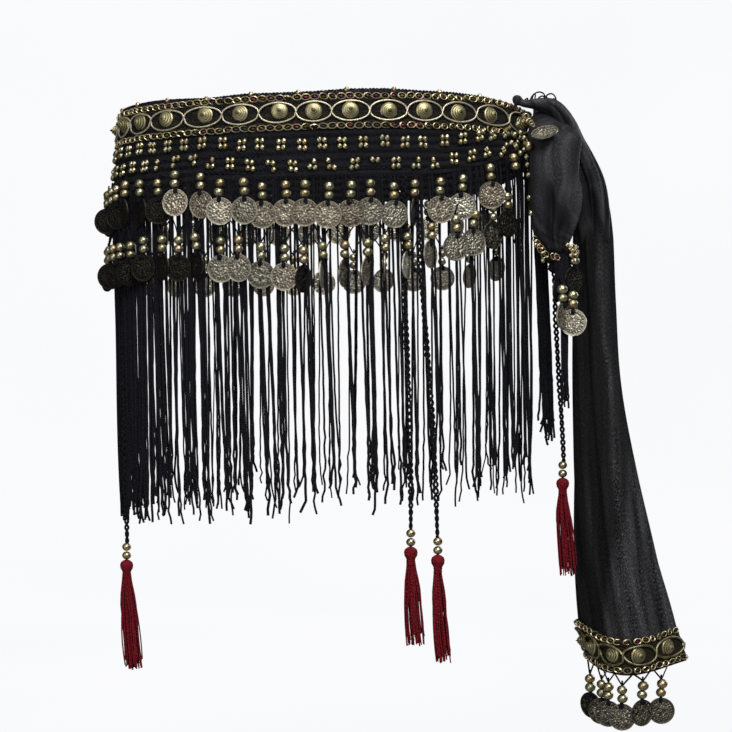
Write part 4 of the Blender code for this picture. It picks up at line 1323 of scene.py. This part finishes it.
def tail_rows(rows, columns):
    """The tail's surface. Its columns go from the hidden back edge round the left fold to the right edge."""
    heights = np.array([row[0] for row in TAIL_SECTIONS], float)
    plans = np.array([row[1:5] for row in TAIL_SECTIONS], float)
    folds = np.array([row[5] for row in TAIL_SECTIONS], float)
    level = np.linspace(0, len(heights) - 1, rows)
    high = np.interp(level, np.arange(len(heights)), heights) * MM
    fold = np.interp(level, np.arange(len(folds)), folds) * MM
    corner = through(plans, level)
    grid = np.zeros((rows, columns, 3))
    share = np.linspace(0, 1, columns)
    for row, down in enumerate(np.arange(rows) / (rows - 1)):
        place = follow(through(corner[row], np.linspace(0, 3, 80)) * MM)
        edge = np.sin(np.pi * share)
        fine = 0.0006 * np.sin(2 * np.pi * 7 * share + 5.0 * down + 1.6 * np.sin(6 * down))
        fine += 0.0002 * np.sin(2 * np.pi * 17 * share - 3.0 * down)
        ease = smoothstep(down * 8) * smoothstep((1 - down) * 9)
        wave = fold[row] * np.sin(2 * np.pi * TAIL_FOLDS * share) * edge
        grid[row] = place(place.end * share, wave + fine * edge * ease, high[row])
    return grid


def lengths(grid):
    """How far each point is across and down the cloth."""
    across = np.linalg.norm(np.diff(grid, axis=1), axis=-1)
    down = np.linalg.norm(np.diff(grid, axis=0), axis=-1)
    across = np.concatenate([np.zeros((grid.shape[0], 1)), np.cumsum(across, axis=1)], axis=1)
    down = np.concatenate([np.zeros((1, grid.shape[1])), np.cumsum(down, axis=0)], axis=0)
    return across, down


# How far the front of the hem hangs down at places across it, in millimetres.
SAG_ACROSS = (206, 213, 222, 234, 246, 262, 276, 291)
SAG = (-0.5, 2.5, 6.4, 6.8, 6.3, 4.2, 1.6, -1.2)


def hem_sag(points):
    """The hem hangs lower at its front, and is drawn up at either side."""
    front = smoothstep((0.018 - points[..., 1]) / 0.024)
    return front * MM * np.interp(points[..., 0] / MM, SAG_ACROSS, SAG)


# The painted highlight along the ridge down the tail: heights, then how far across it is at each, in
# millimetres.
RIDGE_LEVELS = (-400, -345, -319, -269, -206, -168, -118, -60)
RIDGE_LINE = (230, 233.5, 234.5, 232.5, 228.5, 223, 221, 221.5)

# The single layer's left edge, given in the same way.
SINGLE_LEVELS = (-402, -370, -345, -300, -250, -200)
SINGLE_EDGE = (219, 221.5, 224, 238, 243, 248)

# Painted shade in dark folds of the single layer: heights, where each is across, its width and its depth.
DARK_STREAKS = (
    ((-395, -380, -332, -277), (234, 234, 236.4, 239.6), 2.4, 0.45),
    ((-385, -350, -320), (258.5, 258.5, 256), 3.0, 0.30),
    ((-398, -370, -340), (270, 268, 263), 2.0, 0.25),
)
# Painted highlights, and painted shade and shadows where the amount is below nought, such as under the roll:
# across, height, half sizes and how much.
PAINTED_LIGHT_PATCHES = (
    (178.6, -37, 8, 10, 0.56), (195.1, -64, 4.5, 13, 0.72), (182.6, -76, 8, 11, -0.40),
    (173.2, -64, 4, 16, -0.28), (164.5, -73, 4.5, 16, 0.50), (169.2, -56, 4, 9, -0.30),
    (182.2, -91, 4, 3, 0.40), (206.0, -30, 5, 12, 0.60), (212.0, -51, 6, 3, 0.60),
    (210.0, -81, 5, 5, 0.50), (214.0, -65, 5, 8, -0.40), (171.9, 6.4, 8, 3.5, -0.5),
    (190.5, -8.5, 2, 1.6, -0.5), (193.5, -10.0, 2, 1.6, -0.5), (196.8, -12.4, 2, 1.8, -0.5),
    (200.0, -15.2, 2, 1.8, -0.5), (203.2, -18.4, 2, 2, -0.4), (167.5, 14.5, 8, 1.8, 0.5),
)


def faded(value, middle, width):
    """1 at the middle, fading to nothing on either side of it."""
    return np.exp(-((value - middle) / width) ** 2)


def painted_light_patches(x, height):
    """How much paler the cloth is painted at each point by its painted highlights and shade, in millimetres
    across and up.
    """
    found = np.zeros(np.broadcast(x, height).shape)
    for middle, level, wide, tall, amount in PAINTED_LIGHT_PATCHES:
        found = found + amount * faded(x, middle, wide) * faded(height, level, tall)
    return found


def single_layer(x, height, share, down):
    """The single layer at the tail's lower right: painted pale for the light through it, in uneven upright
    streaks of painted highlight, with painted shade in a few dark folds.
    """
    edge = np.interp(height, SINGLE_LEVELS, SINGLE_EDGE)
    single = smoothstep((x - edge) / 6) * smoothstep((-225 - height) / 60)
    streaks = 0.60 + 0.18 * np.sin(share * 31 + 5.0 * down + 2 * np.sin(5 * down))
    streaks = streaks + 0.16 * np.sin(share * 67 - 9.0 * down + 1.7) + 0.08 * np.sin(share * 131 + 7 * down)
    for levels, places, width, depth in DARK_STREAKS:
        inside = smoothstep((height - levels[0]) / 12) * smoothstep((levels[-1] - height) / 12)
        streaks = streaks * (1 - depth * inside * faded(x, np.interp(height, levels, places), width))
    return single * streaks


def tail_thin_and_lit(grid):
    """The folded left part is black but for the painted highlights on its ridges, and the single layer right
    of it is painted pale for the light through it.
    """
    rows, columns = grid.shape[:2]
    x, height = grid[..., 0] / MM, grid[..., 2] / MM
    share = np.linspace(0, 1, columns)[None, :]
    down = np.linspace(0, 1, rows)[:, None]
    line = np.interp(height, RIDGE_LEVELS, RIDGE_LINE)
    # A painted highlight along the ridge down the tail.
    ridge = 0.8 * faded(x, line, 3.4 + 0.8 * np.sin(height / 23))
    ridge = ridge * (0.75 + 0.25 * np.sin(height / 17 + np.sin(height / 7)))
    # A dim painted light right of the ridge.
    dull = 0.14 * smoothstep((x - line + 4) / 5)
    # A faint painted highlight on a fold in the black part.
    faint = 0.30 * faded(x, 210.5 + 0.8 * np.sin(height / 19), 1.8) * smoothstep((-270 - height) / 40)
    pale = np.maximum(ridge, single_layer(x, height, share, down)) + dull + faint + painted_light_patches(x, height)
    behind = 0.16 * (1 + 0.5 * np.sin(grid[..., 1] / MM / 5.3 + x / 9.1))
    front = smoothstep((share - 0.5) * 8)
    return np.clip(pale * front + behind * (1 - front), 0, 1)


def scarf_tail():
    """The tail, whose weave runs straight down one of its columns."""
    grid = tail_rows(130, 140)
    # Painted highlights and painted shade, with the single layer painted pale for the light through it.
    thin_and_lit = tail_thin_and_lit(grid)
    grid[..., 2] -= hem_sag(grid) * smoothstep((-0.30 - grid[..., 2]) / 0.10)
    across, down = lengths(grid)
    straight = 60
    across = across - across[:, straight:straight + 1]
    piece = cloth("tail_cloth", grid, across, -down, tail_cloth, 0.0006, thin_and_lit=thin_and_lit)
    stands_for(piece, "scarf_cloth", "scarf_tail")


def hem_place():
    """Places along the hem's braid, from the left fold round to the right edge, and its level line."""
    outlines = [through(np.array(row[1:5], float), np.linspace(0, 3, 80)) for row in TAIL_SECTIONS[-2:]]
    upper, lower = (follow(outline[20:] * MM) for outline in outlines)

    def place(distance, out=0.0, height=0.0):
        distance, out, height = np.broadcast_arrays(np.asarray(distance, float), out, height)
        down = np.clip((HEM_BOTTOM + 2 * BRAID_HALF - height) / (2 * BRAID_HALF), 0, 1)[..., None]
        above = upper(distance * upper.end / lower.end, out, height)
        points = above * (1 - down) + lower(distance, out, height) * down
        points[..., 2] -= hem_sag(points)
        return points

    place.outwards = lower.outwards
    place.end = lower.end
    return place, lower


# How far each stud of the tail's hem is along it, then its drops: places and heights in millimetres, how far
# each coin is turned, in degrees, and how much darker it is painted, a painted shade and reflection.
HEM_STUDS = (20, 37, 65, 85, 115)
HEM_DROPS = (
    # along, height, turn, shade
    (22, -444.5, 33, 1.3), (45, -445.3, 60, 0.7), (55, -445.9, 50, 0.55), (69.5, -446.4, 28, 0.5),
    (84.5, -443.2, 6, 0.95), (103, -443.2, -36, 0.8),
)


def tail_hem():
    place, level = hem_place()
    braid("tail_hem", place, 0.002, place.end - 0.001, np.array(HEM_STUDS) * MM, 0.0011,
          HEM_BOTTOM + BRAID_HALF, "tail_hem_braid", HEM_WIRE_RADIUS, hem_wire)
    along, height, turn, shade = np.array(HEM_DROPS, float).T
    distances, roots = along * MM, height * MM
    threads = drops("tail_drop", level, distances, 0.002, roots, turn, "tail_coins", shade, wide=1.14)
    for distance, root in zip(distances, roots):
        for side in (-1, 1):
            top = place(distance + side * 0.0085, 0.0016, HEM_BOTTOM + 0.0005)
            bend = level(distance + side * 0.0015, 0.002, root + 0.002)
            threads.append(np.stack([level(distance, 0.002, root), bend, top]))
    stands_for(yarn("tail_threads", threads, HEM_THREAD_RADIUS, fringe_yarn, rings=0), "black_net")


def painted_fold_light(reach):
    """A painted highlight where a fold stands out and painted shade in a trough."""
    return np.clip(0.24 + (reach - 1) * 3.4, 0, 1)


def creased(creases, turn, down, ease):
    """How far gathered cloth stands out, as a share of its size. Its creases start and end where they say."""
    reach = np.ones(np.broadcast(turn, down).shape)
    for start, end, width, depth, first, last in creases:
        off = (turn - np.radians(start + (end - start) * down) + np.pi) % (2 * np.pi) - np.pi
        span = smoothstep((down - first) / ease) * smoothstep((last - down) / ease)
        reach = reach + depth * span * faded(off, 0, math.radians(width))
    return reach


def round_and_down(rows, columns):
    """The turn of each column round gathered cloth, and how far down it each row is."""
    turn = np.linspace(0, 2 * np.pi, columns, endpoint=False)[None, :]
    return turn, np.linspace(0, 1, rows)[:, None]


def gathered_cloth(name, grid, reach, node_name, flipped=False):
    """Gathered cloth as a closed shell through rows of points."""
    across, along = lengths(grid)
    # Painted highlights and painted shade on the folds, and the painted light patches.
    thin_and_lit = np.clip(painted_fold_light(reach) + painted_light_patches(grid[..., 0] / MM, grid[..., 2] / MM), 0, 1)
    piece = cloth(name, grid, across, -along, knot_cloth, 0.0007, closed=True, flipped=flipped, thin_and_lit=thin_and_lit)
    stands_for(piece, "scarf_cloth", node_name)


def upright_cloth(name, rings, creases, rows, columns, clearance, node_name):
    """Gathered cloth round an upright line, kept clear of the hips."""
    table = np.array([(height, *middle, *half) for height, middle, half in rings], float)
    ring = through(table, np.linspace(0, len(table) - 1, rows))
    turn, down = round_and_down(rows, columns)
    reach = creased(creases, turn, down, 0.12)
    x = (ring[:, 1:2] + ring[:, 3:4] * reach * np.cos(turn)) * MM
    y = (ring[:, 2:3] + ring[:, 4:5] * reach * np.sin(turn)) * MM
    inside = np.minimum(np.hypot(x / (HIP_HALF_WIDTH + clearance), y / (HIP_HALF_DEPTH + clearance)), 1)
    grid = np.stack([x / inside, y / inside, ring[:, 0:1] * MM * np.ones_like(x)], -1)
    gathered_cloth(name, grid, reach, node_name)


# Gathered cloth is given by rings down it, in millimetres, and by creases. A crease starts and ends at these
# turns, in degrees from the cloth's right round its back. Its depth is a share of the ring's size, outwards,
# and "first" and "last" say where it begins and ends, as shares of the way down.
KNOT_RINGS = (
    # height, (x, y), (half x, half y)
    (18, (172, -27), (7, 7)),
    (15, (174, -26), (13, 12)),
    (7, (176, -25), (17, 15)),
    (-2, (176, -25), (19, 16)),
    (-14, (176, -25), (16, 13)),
    (-21, (176, -26), (9, 8)),
)
KNOT_CREASES = (
    # start, end, width, depth, first, last
    (-60, -95, 9, -0.22, -0.2, 1.2), (-100, -60, 11, 0.10, -0.2, 1.2), (-130, -150, 9, -0.20, -0.2, 1.2),
    (-20, -35, 10, -0.18, -0.2, 1.2), (20, 0, 12, -0.15, -0.2, 1.2), (80, 100, 10, -0.2, -0.2, 1.2),
    (140, 160, 10, -0.2, -0.2, 1.2), (200, 190, 12, -0.15, -0.2, 1.2),
)
POUCH_RINGS = (
    # height, (x, y), (half x, half y)
    (7, (175, -56), (7, 4)),
    (3, (177, -57), (13, 8)),
    (-3, (180, -59), (18, 11)),
    (-10, (181.5, -61), (20.8, 13)),
    (-17, (182.3, -63), (22.2, 15)),
    (-31, (181.3, -64), (21.4, 16)),
    (-47, (181.1, -64), (20.7, 16)),
    (-63, (182, -64), (21.4, 16)),
    (-78, (182, -63), (19.4, 15)),
    (-90, (181, -62), (15.8, 13)),
    (-98, (181.8, -62), (11, 9.5)),
    (-102.5, (182, -62), (7.5, 7)),
    (-105, (182, -62), (3, 3)),
)
POUCH_CREASES = (
    # start, end, width, depth, first, last
    (-101, -109, 8, -0.34, 0.50, 0.90), (-60, -176, 7, 0.11, 0.22, 0.50), (-62, -80, 22, 0.09, 0.22, 0.66),
    (-62, -74, 13, -0.24, 0.62, 0.90), (-30, -44, 7, 0.16, 0.42, 0.97), (-8, -20, 7, -0.14, 0.20, 0.80),
    (-128, -138, 20, 0.05, 0.30, 0.90), (-88, -60, 6, -0.16, 0.12, 0.36), (-176, -168, 9, -0.10, 0.3, 0.9),
    (0, 6, 8, -0.16, 0.1, 0.9), (32, 40, 12, -0.16, -0.2, 1.2), (-95, -88, 5, 0.12, 0.74, 1.0),
    (60, 70, 8, 0.10, 0.1, 1.0), (90, 80, 12, -0.18, -0.2, 1.2), (140, 150, 12, -0.18, -0.2, 1.2),
    (-56, -50, 5, -0.15, 0.76, 1.2), (-92, -80, 4, 0.14, 0.82, 1.2),
    (-104, -98, 4, -0.16, 0.82, 1.2), (-120, -112, 5, -0.15, 0.78, 1.2), (-78, -72, 4, -0.16, 0.84, 1.2),
    (-136, -128, 4, 0.10, 0.8, 1.2), (-40, -36, 4, 0.10, 0.82, 1.2),
)

# The cloth rolled over the top of the knot, from its small tip towards the tail, in millimetres.
ROLL_SECTIONS = (
    # (x, y, height), half size across, half size in depth
    ((149.5, -58, 15.5), 1.2, 1.2),
    ((150.8, -58, 15.7), 3.3, 3.3),
    ((153, -58, 15.5), 3.6, 3.6),
    ((155.2, -58, 14.4), 2.3, 2.5),
    ((158.5, -59, 13.0), 2.2, 2.8),
    ((165, -61, 12.6), 3.4, 4.6),
    ((173, -61, 11.6), 5.2, 7.6),
    ((180, -60, 9.2), 6.7, 10.6),
    ((186.2, -58, 3.0), 7.5, 13.0),
    ((190.9, -55, -6), 9.1, 14.0),
    ((196.6, -51, -18), 9.7, 14.0),
    ((203.8, -46, -32), 11.2, 13.0),
    ((210.2, -41, -48), 12.9, 11.5),
    ((213.5, -37, -64), 13.4, 9.5),
    ((215, -33, -80), 13.0, 8.0),
    ((216, -30, -96), 12.0, 6.0),
    ((217, -26, -112), 9.0, 4.0),
    ((217, -24, -122), 4.0, 2.0),
)
ROLL_CREASES = (
    # start, end, width, depth, first, last
    (-140, -150, 10, -0.20, 0.18, 0.55), (-100, -78, 8, -0.20, 0.35, 0.70), (-75, -60, 8, 0.10, 0.30, 0.62),
    (-118, -96, 7, -0.30, 0.55, 0.92), (-92, -60, 7, 0.14, 0.60, 0.95), (-60, -95, 6, -0.26, 0.62, 0.96),
    (-30, -72, 7, 0.12, 0.62, 0.98), (-20, -40, 7, -0.14, 0.55, 1.0), (20, 30, 12, -0.16, 0.3, 1.0),
    (150, 200, 10, -0.16, 0.3, 1.0), (90, 120, 10, -0.16, 0.3, 1.0), (60, 50, 9, 0.12, 0.3, 1.0),
    (-85, -88, 7, 0.16, 0.12, 0.34),
)

# Loops that stand on the roll, in millimetres but for their lean.
KNOT_LOOPS = (
    # x, height, width, how tall, lean
    (168.6, 16.4, 12.6, 13.6, 0.25), (178.9, 15.9, 9.6, 11.6, -0.05), (158.4, 14.8, 3.6, 6.2, 0.8),
    (165.4, 17.2, 3.4, 8.8, 0.2), (171.2, 17.0, 6.0, 5.4, 0.5), (175.8, 15.8, 4.0, 5.8, 0.0),
    (181.6, 15.2, 3.2, 5.4, -0.1),
)
KNOT_COIN = (0.1718, -0.0825, -0.0119)

# Beads at the braid's end, in millimetres: the small ones' (x, height) and the large ones' (x, y, height).
END_BEADS = (
    (152, -4.5), (156.5, -2), (149.5, -12.5), (154, -11), (157, -15), (147, -19), (150.5, -21.5),
    (159, -30), (159.5, -36), (160.5, -44), (161, -62), (162.5, -74), (154, -27),
)
END_LARGE_BEADS = ((148.5, -73, -31), (149.8, -73, -37.6), (160, -74, -22))
LOOSE_LINK_SCALE = 0.8


def knot():
    upright_cloth("knot_cloth", KNOT_RINGS, KNOT_CREASES, 40, 90, 0.004, "scarf_knot")
    upright_cloth("pouch_cloth", POUCH_RINGS, POUCH_CREASES, 90, 130, 0.0125, "scarf_short_end")
    roll()
    knot_loops()
    knot_coin()
    braid_end()


def roll():
    """The cloth rolled over the top of the knot, in rings square to its line."""
    rows, columns = 100, 100
    table = np.array([(*middle, half, deep) for middle, half, deep in ROLL_SECTIONS], float)
    ring = through(table, np.linspace(0, len(table) - 1, rows))
    along = np.gradient(ring[:, [0, 2]], axis=0)
    along /= np.linalg.norm(along, axis=1, keepdims=True)
    turn, down = round_and_down(rows, columns)
    reach = creased(ROLL_CREASES, turn, down, 0.15)
    across = ring[:, 3:4] * reach * np.cos(turn)
    x = ring[:, 0:1] - along[:, 1:2] * across
    y = ring[:, 1:2] + ring[:, 4:5] * reach * np.sin(turn)
    z = ring[:, 2:3] + along[:, 0:1] * across
    grid = np.stack([x, y, z], -1) * MM
    gathered_cloth("knot_roll", grid, reach, "scarf_knot", flipped=True)


def knot_loops():
    """Small loops of yarn that stand on the roll."""
    turn = np.linspace(-0.45 * np.pi, 1.45 * np.pi, 20)
    loops = []
    for x, height, wide, tall, lean in KNOT_LOOPS:
        across = (wide / 2 - 0.6) * np.cos(turn)
        up = (tall / 2 - 0.6) * np.sin(turn)
        deep = -58 + 1.2 * np.sin(turn * 2 + x)
        loops.append(np.column_stack([x + across + lean * up, deep, height + up]) * MM)
    stands_for(yarn("knot_loops", loops, LOOP_RADIUS, fringe_yarn, rings=1), "black_fringe")


def knot_coin():
    """A coin that lies on the pouch."""
    frames = turned(1, math.radians(-17)) @ turned(0, math.radians(-60)) @ turned(1, 0.4)
    coin = (COIN, frames, np.array([KNOT_COIN]), 0.0)
    stands_for(copies("knot_coin", [coin], pewter, 30), "coin")


def braid_end():
    """The belt braid's end, which comes out of the knot: loose beads and a few links."""
    small = np.array(END_BEADS)
    spots = np.column_stack([small[:, 0], -70 + (small[:, 0] - 141) * 0.12, small[:, 1]]) * MM
    frames = turned(1, chance.uniform(-1.2, 1.2, len(small)))
    batches = [(SMALL_BEAD, frames, spots, chance.uniform(0.0, 0.6, len(small)))]
    large = np.array(END_LARGE_BEADS) * MM
    batches.append((BEAD, turned(1, (0.2, 0.1, 1.2)), large, np.array([0.4, 0.5, 0.3])))
    stands_for(copies("braid_end_beads", batches, brass), "coin")
    count = 5
    share = np.linspace(0, 1, count)
    spots = np.column_stack([158 + 5 * share, -71 - 2 * share, 2 - 7 * share + 1.5 * np.sin(share * 9)]) * MM
    frames = turned(1, chance.uniform(0.3, 1.1, count)) @ turned(2, chance.uniform(-0.6, 0.6, count))
    links = (CHAIN_LINK, frames * LOOSE_LINK_SCALE, spots, chance.random(count))
    stands_for(copies("braid_end_links", [links], gold_chain, 60), "braid")


def oval_place(middle, half_width, half_depth):
    """Places round an oval, which start and end at its back."""
    angles = np.radians(np.arange(-181, 182, 6))
    x = middle[0] + half_width * np.sin(angles)
    y = middle[1] - half_depth * np.cos(angles)
    return follow(np.stack([x, y], axis=1) * MM)


# The short end's bits of chain: from (x, height) to (x, height), in millimetres, and how many links.
SHORT_END_CHAINS = (
    ((164, -93), (175, -108), 5), ((166, -98), (173, -109), 3), ((178, -108), (184, -109), 2),
    ((195, -99), (197, -111), 3),
)
SHORT_END_BEADS = ((193.5, -102), (197.5, -101), (194, -107), (198, -106.5), (191, -99), (172, -111))
# The short end's drops: where each is round the pouch and how far out, the height of its root, how far its
# coin is turned and how much darker it is painted, a painted shade and reflection that is a painted highlight
# below nought. Lengths are in millimetres and angles in degrees.
SHORT_END_DROPS = (
    # angle, out, root, turn, shade
    (54, 3.2, -135.2, -6, -0.4), (24, 0.6, -130.6, 66, 0.3), (84, 1.0, -101.0, 48, 1.4),
    (130, 0.0, -128.0, 20, 0.8), (165, 0.0, -108.0, 60, 1.2),
)


def short_end_band():
    """The short end's hem, gathered to a dark bundle."""
    place = oval_place((186, -61), 10, 8)
    columns, rows = 60, 14
    distance = np.linspace(0.003, place.end - 0.003, columns)[None, :]
    height = np.linspace(-0.1005, -0.1200, rows)[:, None]
    down = np.linspace(0, 1, rows)[:, None]
    folds = 0.0013 * np.sin(distance * 2300 + height * 300) + 0.0012 * np.sin(height * 900)
    grid = place(distance, 0.0012 + folds - 0.0045 * down, height + 0.0010 * np.sin(distance * 900))
    band = cloth("short_end_band", grid, distance, height, net_yarn, 0.0007)
    stands_for(band, "braid", "short_end_braid")


def short_end_chains():
    """Bits of the hem's chain that are in sight."""
    links, knots = [], []
    for (x, height), (to_x, to_height), count in SHORT_END_CHAINS:
        share = (np.arange(count) + 0.5) / count
        across = x + (to_x - x) * share
        spots = np.column_stack([across, np.full(count, -73.0), height + (to_height - height) * share]) * MM
        frames = turned(1, 0.9 + chance.normal(0, 0.25, count)) @ turned(2, chance.normal(0.4, 0.3, count))
        links.append((CHAIN_LINK, frames * LOOSE_LINK_SCALE, spots, chance.random(count)))
        knots.append((FLOSS, frames, spots, chance.random(count)))
    stands_for(copies("short_end_chains", links, gold_chain, 60), "braid", "short_end_braid")
    stands_for(copies("short_end_floss", knots, floss, 60), "braid", "short_end_braid")


def short_end_beads():
    x, height = np.array(SHORT_END_BEADS).T
    spots = np.column_stack([x, np.full(len(x), -68.0), height]) * MM
    frames = turned(1, chance.uniform(-0.5, 0.5, len(x)))
    stands_for(copies("short_end_beads", [(SMALL_BEAD, frames, spots, 0.6)], brass), "coin")


def carrying_threads(oval, distance, root):
    """Two threads that hold a drop's root up inside the pouch."""
    heights = np.linspace(root, -0.113, 7)
    wander = 0.0012 * np.sin(np.linspace(0, 5, 7) + distance * 900)
    for side in (-0.0008, 0.0008):
        yield oval(distance + wander + side, np.linspace(0.0, -0.004, 7), heights)


def short_loops(oval):
    """Loops of yarn that fill the space between the drops."""
    count = 34
    share = np.linspace(0, 1, 8)
    for number in range(count):
        distance = oval.end * (0.50 + 0.22 * number / count)
        low = -0.124 - 0.020 * chance.random()
        loop = 0.003 * np.sin(np.pi * share) * chance.uniform(-1, 1)
        heights = -0.108 + (low + 0.108) * np.sin(np.pi * share)
        yield oval(distance + loop + 0.004 * share, -0.004 + 0.001 * np.cos(share * 7), heights)


def short_strands(oval):
    count = 9
    for number in range(count):
        distance = oval.end * (0.56 + 0.12 * number / count)
        low = -0.210 - chance.uniform(0, 0.020)
        yield strand_path(oval, distance, -0.004, -0.112, low, chance.normal(0.003, 0.002))


def short_end_drops():
    """The drops that hang round the short end's hem, and the yarns among them."""
    oval = oval_place((182, -62), 14, 11)
    angle, out, root, turn, shade = np.array(SHORT_END_DROPS, float).T
    distances = oval.end * ((angle + 180) % 360) / 360
    threads = drops("short_drop", oval, distances, out * MM, root * MM, turn - angle, "short_end_coins",
                    shade, wide=1.12)
    for drop in zip(distances, root * MM):
        threads += carrying_threads(oval, *drop)
    threads += list(short_loops(oval)) + list(short_strands(oval))
    piece = yarn("short_end_threads", threads, FINE_STRAND_RADIUS, fringe_yarn, rings=0)
    stands_for(piece, "black_net", "short_end_coins")


def short_end_hem():
    short_end_band()
    short_end_chains()
    short_end_beads()
    short_end_drops()


# --- The stage, the lights and the camera ---


def area_light(name, spot, target, size, power):
    lamp = bpy.data.lights.new(name, "AREA")
    lamp.shape = "RECTANGLE"
    lamp.size, lamp.size_y = size
    lamp.energy = power
    piece = link(bpy.data.objects.new(name, lamp))
    piece.location = spot
    x, y, z = np.array(target, float) - spot
    piece.rotation_euler = (math.atan2(math.hypot(x, y), -z), 0, math.atan2(y, x) - math.pi / 2)


def stage_floor():
    """A floor that curves up into a wall all round."""
    deselect()
    profile = [(4.6, -0.95), (5.4, -0.88), (6.0, -0.55), (6.3, 0.1), (6.4, 4.5)]
    radius, height = profile[0]
    bpy.ops.mesh.primitive_circle_add(vertices=96, radius=radius, fill_type="NGON", location=(0, 0, height))
    floor = bpy.context.object
    floor.name = "stage_floor"
    bpy.ops.object.transform_apply()
    bpy.ops.object.mode_set(mode="EDIT")
    bpy.ops.mesh.select_mode(type="EDGE")
    bpy.ops.mesh.select_all(action="SELECT")
    for (before, low), (after, high) in zip(profile, profile[1:]):
        bpy.ops.mesh.extrude_edges_move(TRANSFORM_OT_translate={"value": (0, 0, high - low)})
        bpy.ops.transform.resize(value=(after / before, after / before, 1))
    bpy.ops.object.mode_set(mode="OBJECT")
    floor.data.shade_smooth()
    return floor


def stage_paper():
    """Grey paper that the camera sees as white."""
    made, tree, shader = blank("stage_paper")
    uneven = ranged(noise(on_object(tree), 0.6, 2.0), 0.3, 0.7)
    seen = mixed(uneven, (0.94, 0.945, 0.96, 1), (0.97, 0.97, 0.98, 1))
    paper = mixed(uneven, (0.20, 0.20, 0.21, 1), (0.24, 0.24, 0.25, 1))
    feed(shader, {"Base Color": paper, "Roughness": 0.9})
    glow = node(tree, "ShaderNodeEmission", {"Color": seen, "Strength": 1.0})
    by_camera = node(tree, "ShaderNodeLightPath").outputs["Is Camera Ray"]
    parts = {0: by_camera, 1: shader.outputs[0], 2: glow.outputs[0]}
    feed(tree.nodes["Material Output"], {"Surface": node(tree, "ShaderNodeMixShader", parts).outputs[0]})
    return made


def stage():
    floor = stage_floor()
    floor.data.materials.append(stage_paper())


def light_and_camera():
    scene = bpy.context.scene
    world = bpy.data.worlds.new("studio")
    world.use_nodes = True
    feed(world.node_tree.nodes["Background"], {"Color": (0.9, 0.92, 1.0, 1), "Strength": 0.22})
    scene.world = world
    scene.view_settings.view_transform = "Standard"
    scene.view_settings.look = "None"
    area_light("key", (0.5, -2.2, 1.5), (0.03, 0, -0.15), (1.4, 1.0), 62)
    area_light("fill", (-1.6, -2.0, 0.1), (0, 0, -0.2), (0.9, 1.6), 16)
    area_light("top", (0.2, -0.3, 2.0), (0, 0, -0.1), (1.2, 1.2), 26)
    area_light("rim", (1.8, 1.6, 0.6), (0, 0, -0.1), (1.0, 1.4), 18)
    lens = bpy.data.cameras.new("camera")
    lens.lens = 96
    lens.sensor_width = 36
    camera = link(bpy.data.objects.new("camera", lens))
    camera.location = (0.033, -1.6, -0.194)
    camera.rotation_euler = (math.pi / 2, 0, 0)
    scene.camera = camera


belt_net()
belt_yarns()
belt_beads()
belt_braid()
belt_drops()
fringe_front()
fringe_back()
fringe_knot()
tassels()
scarf_tail()
tail_hem()
knot()
short_end_hem()
stage()
light_and_camera()
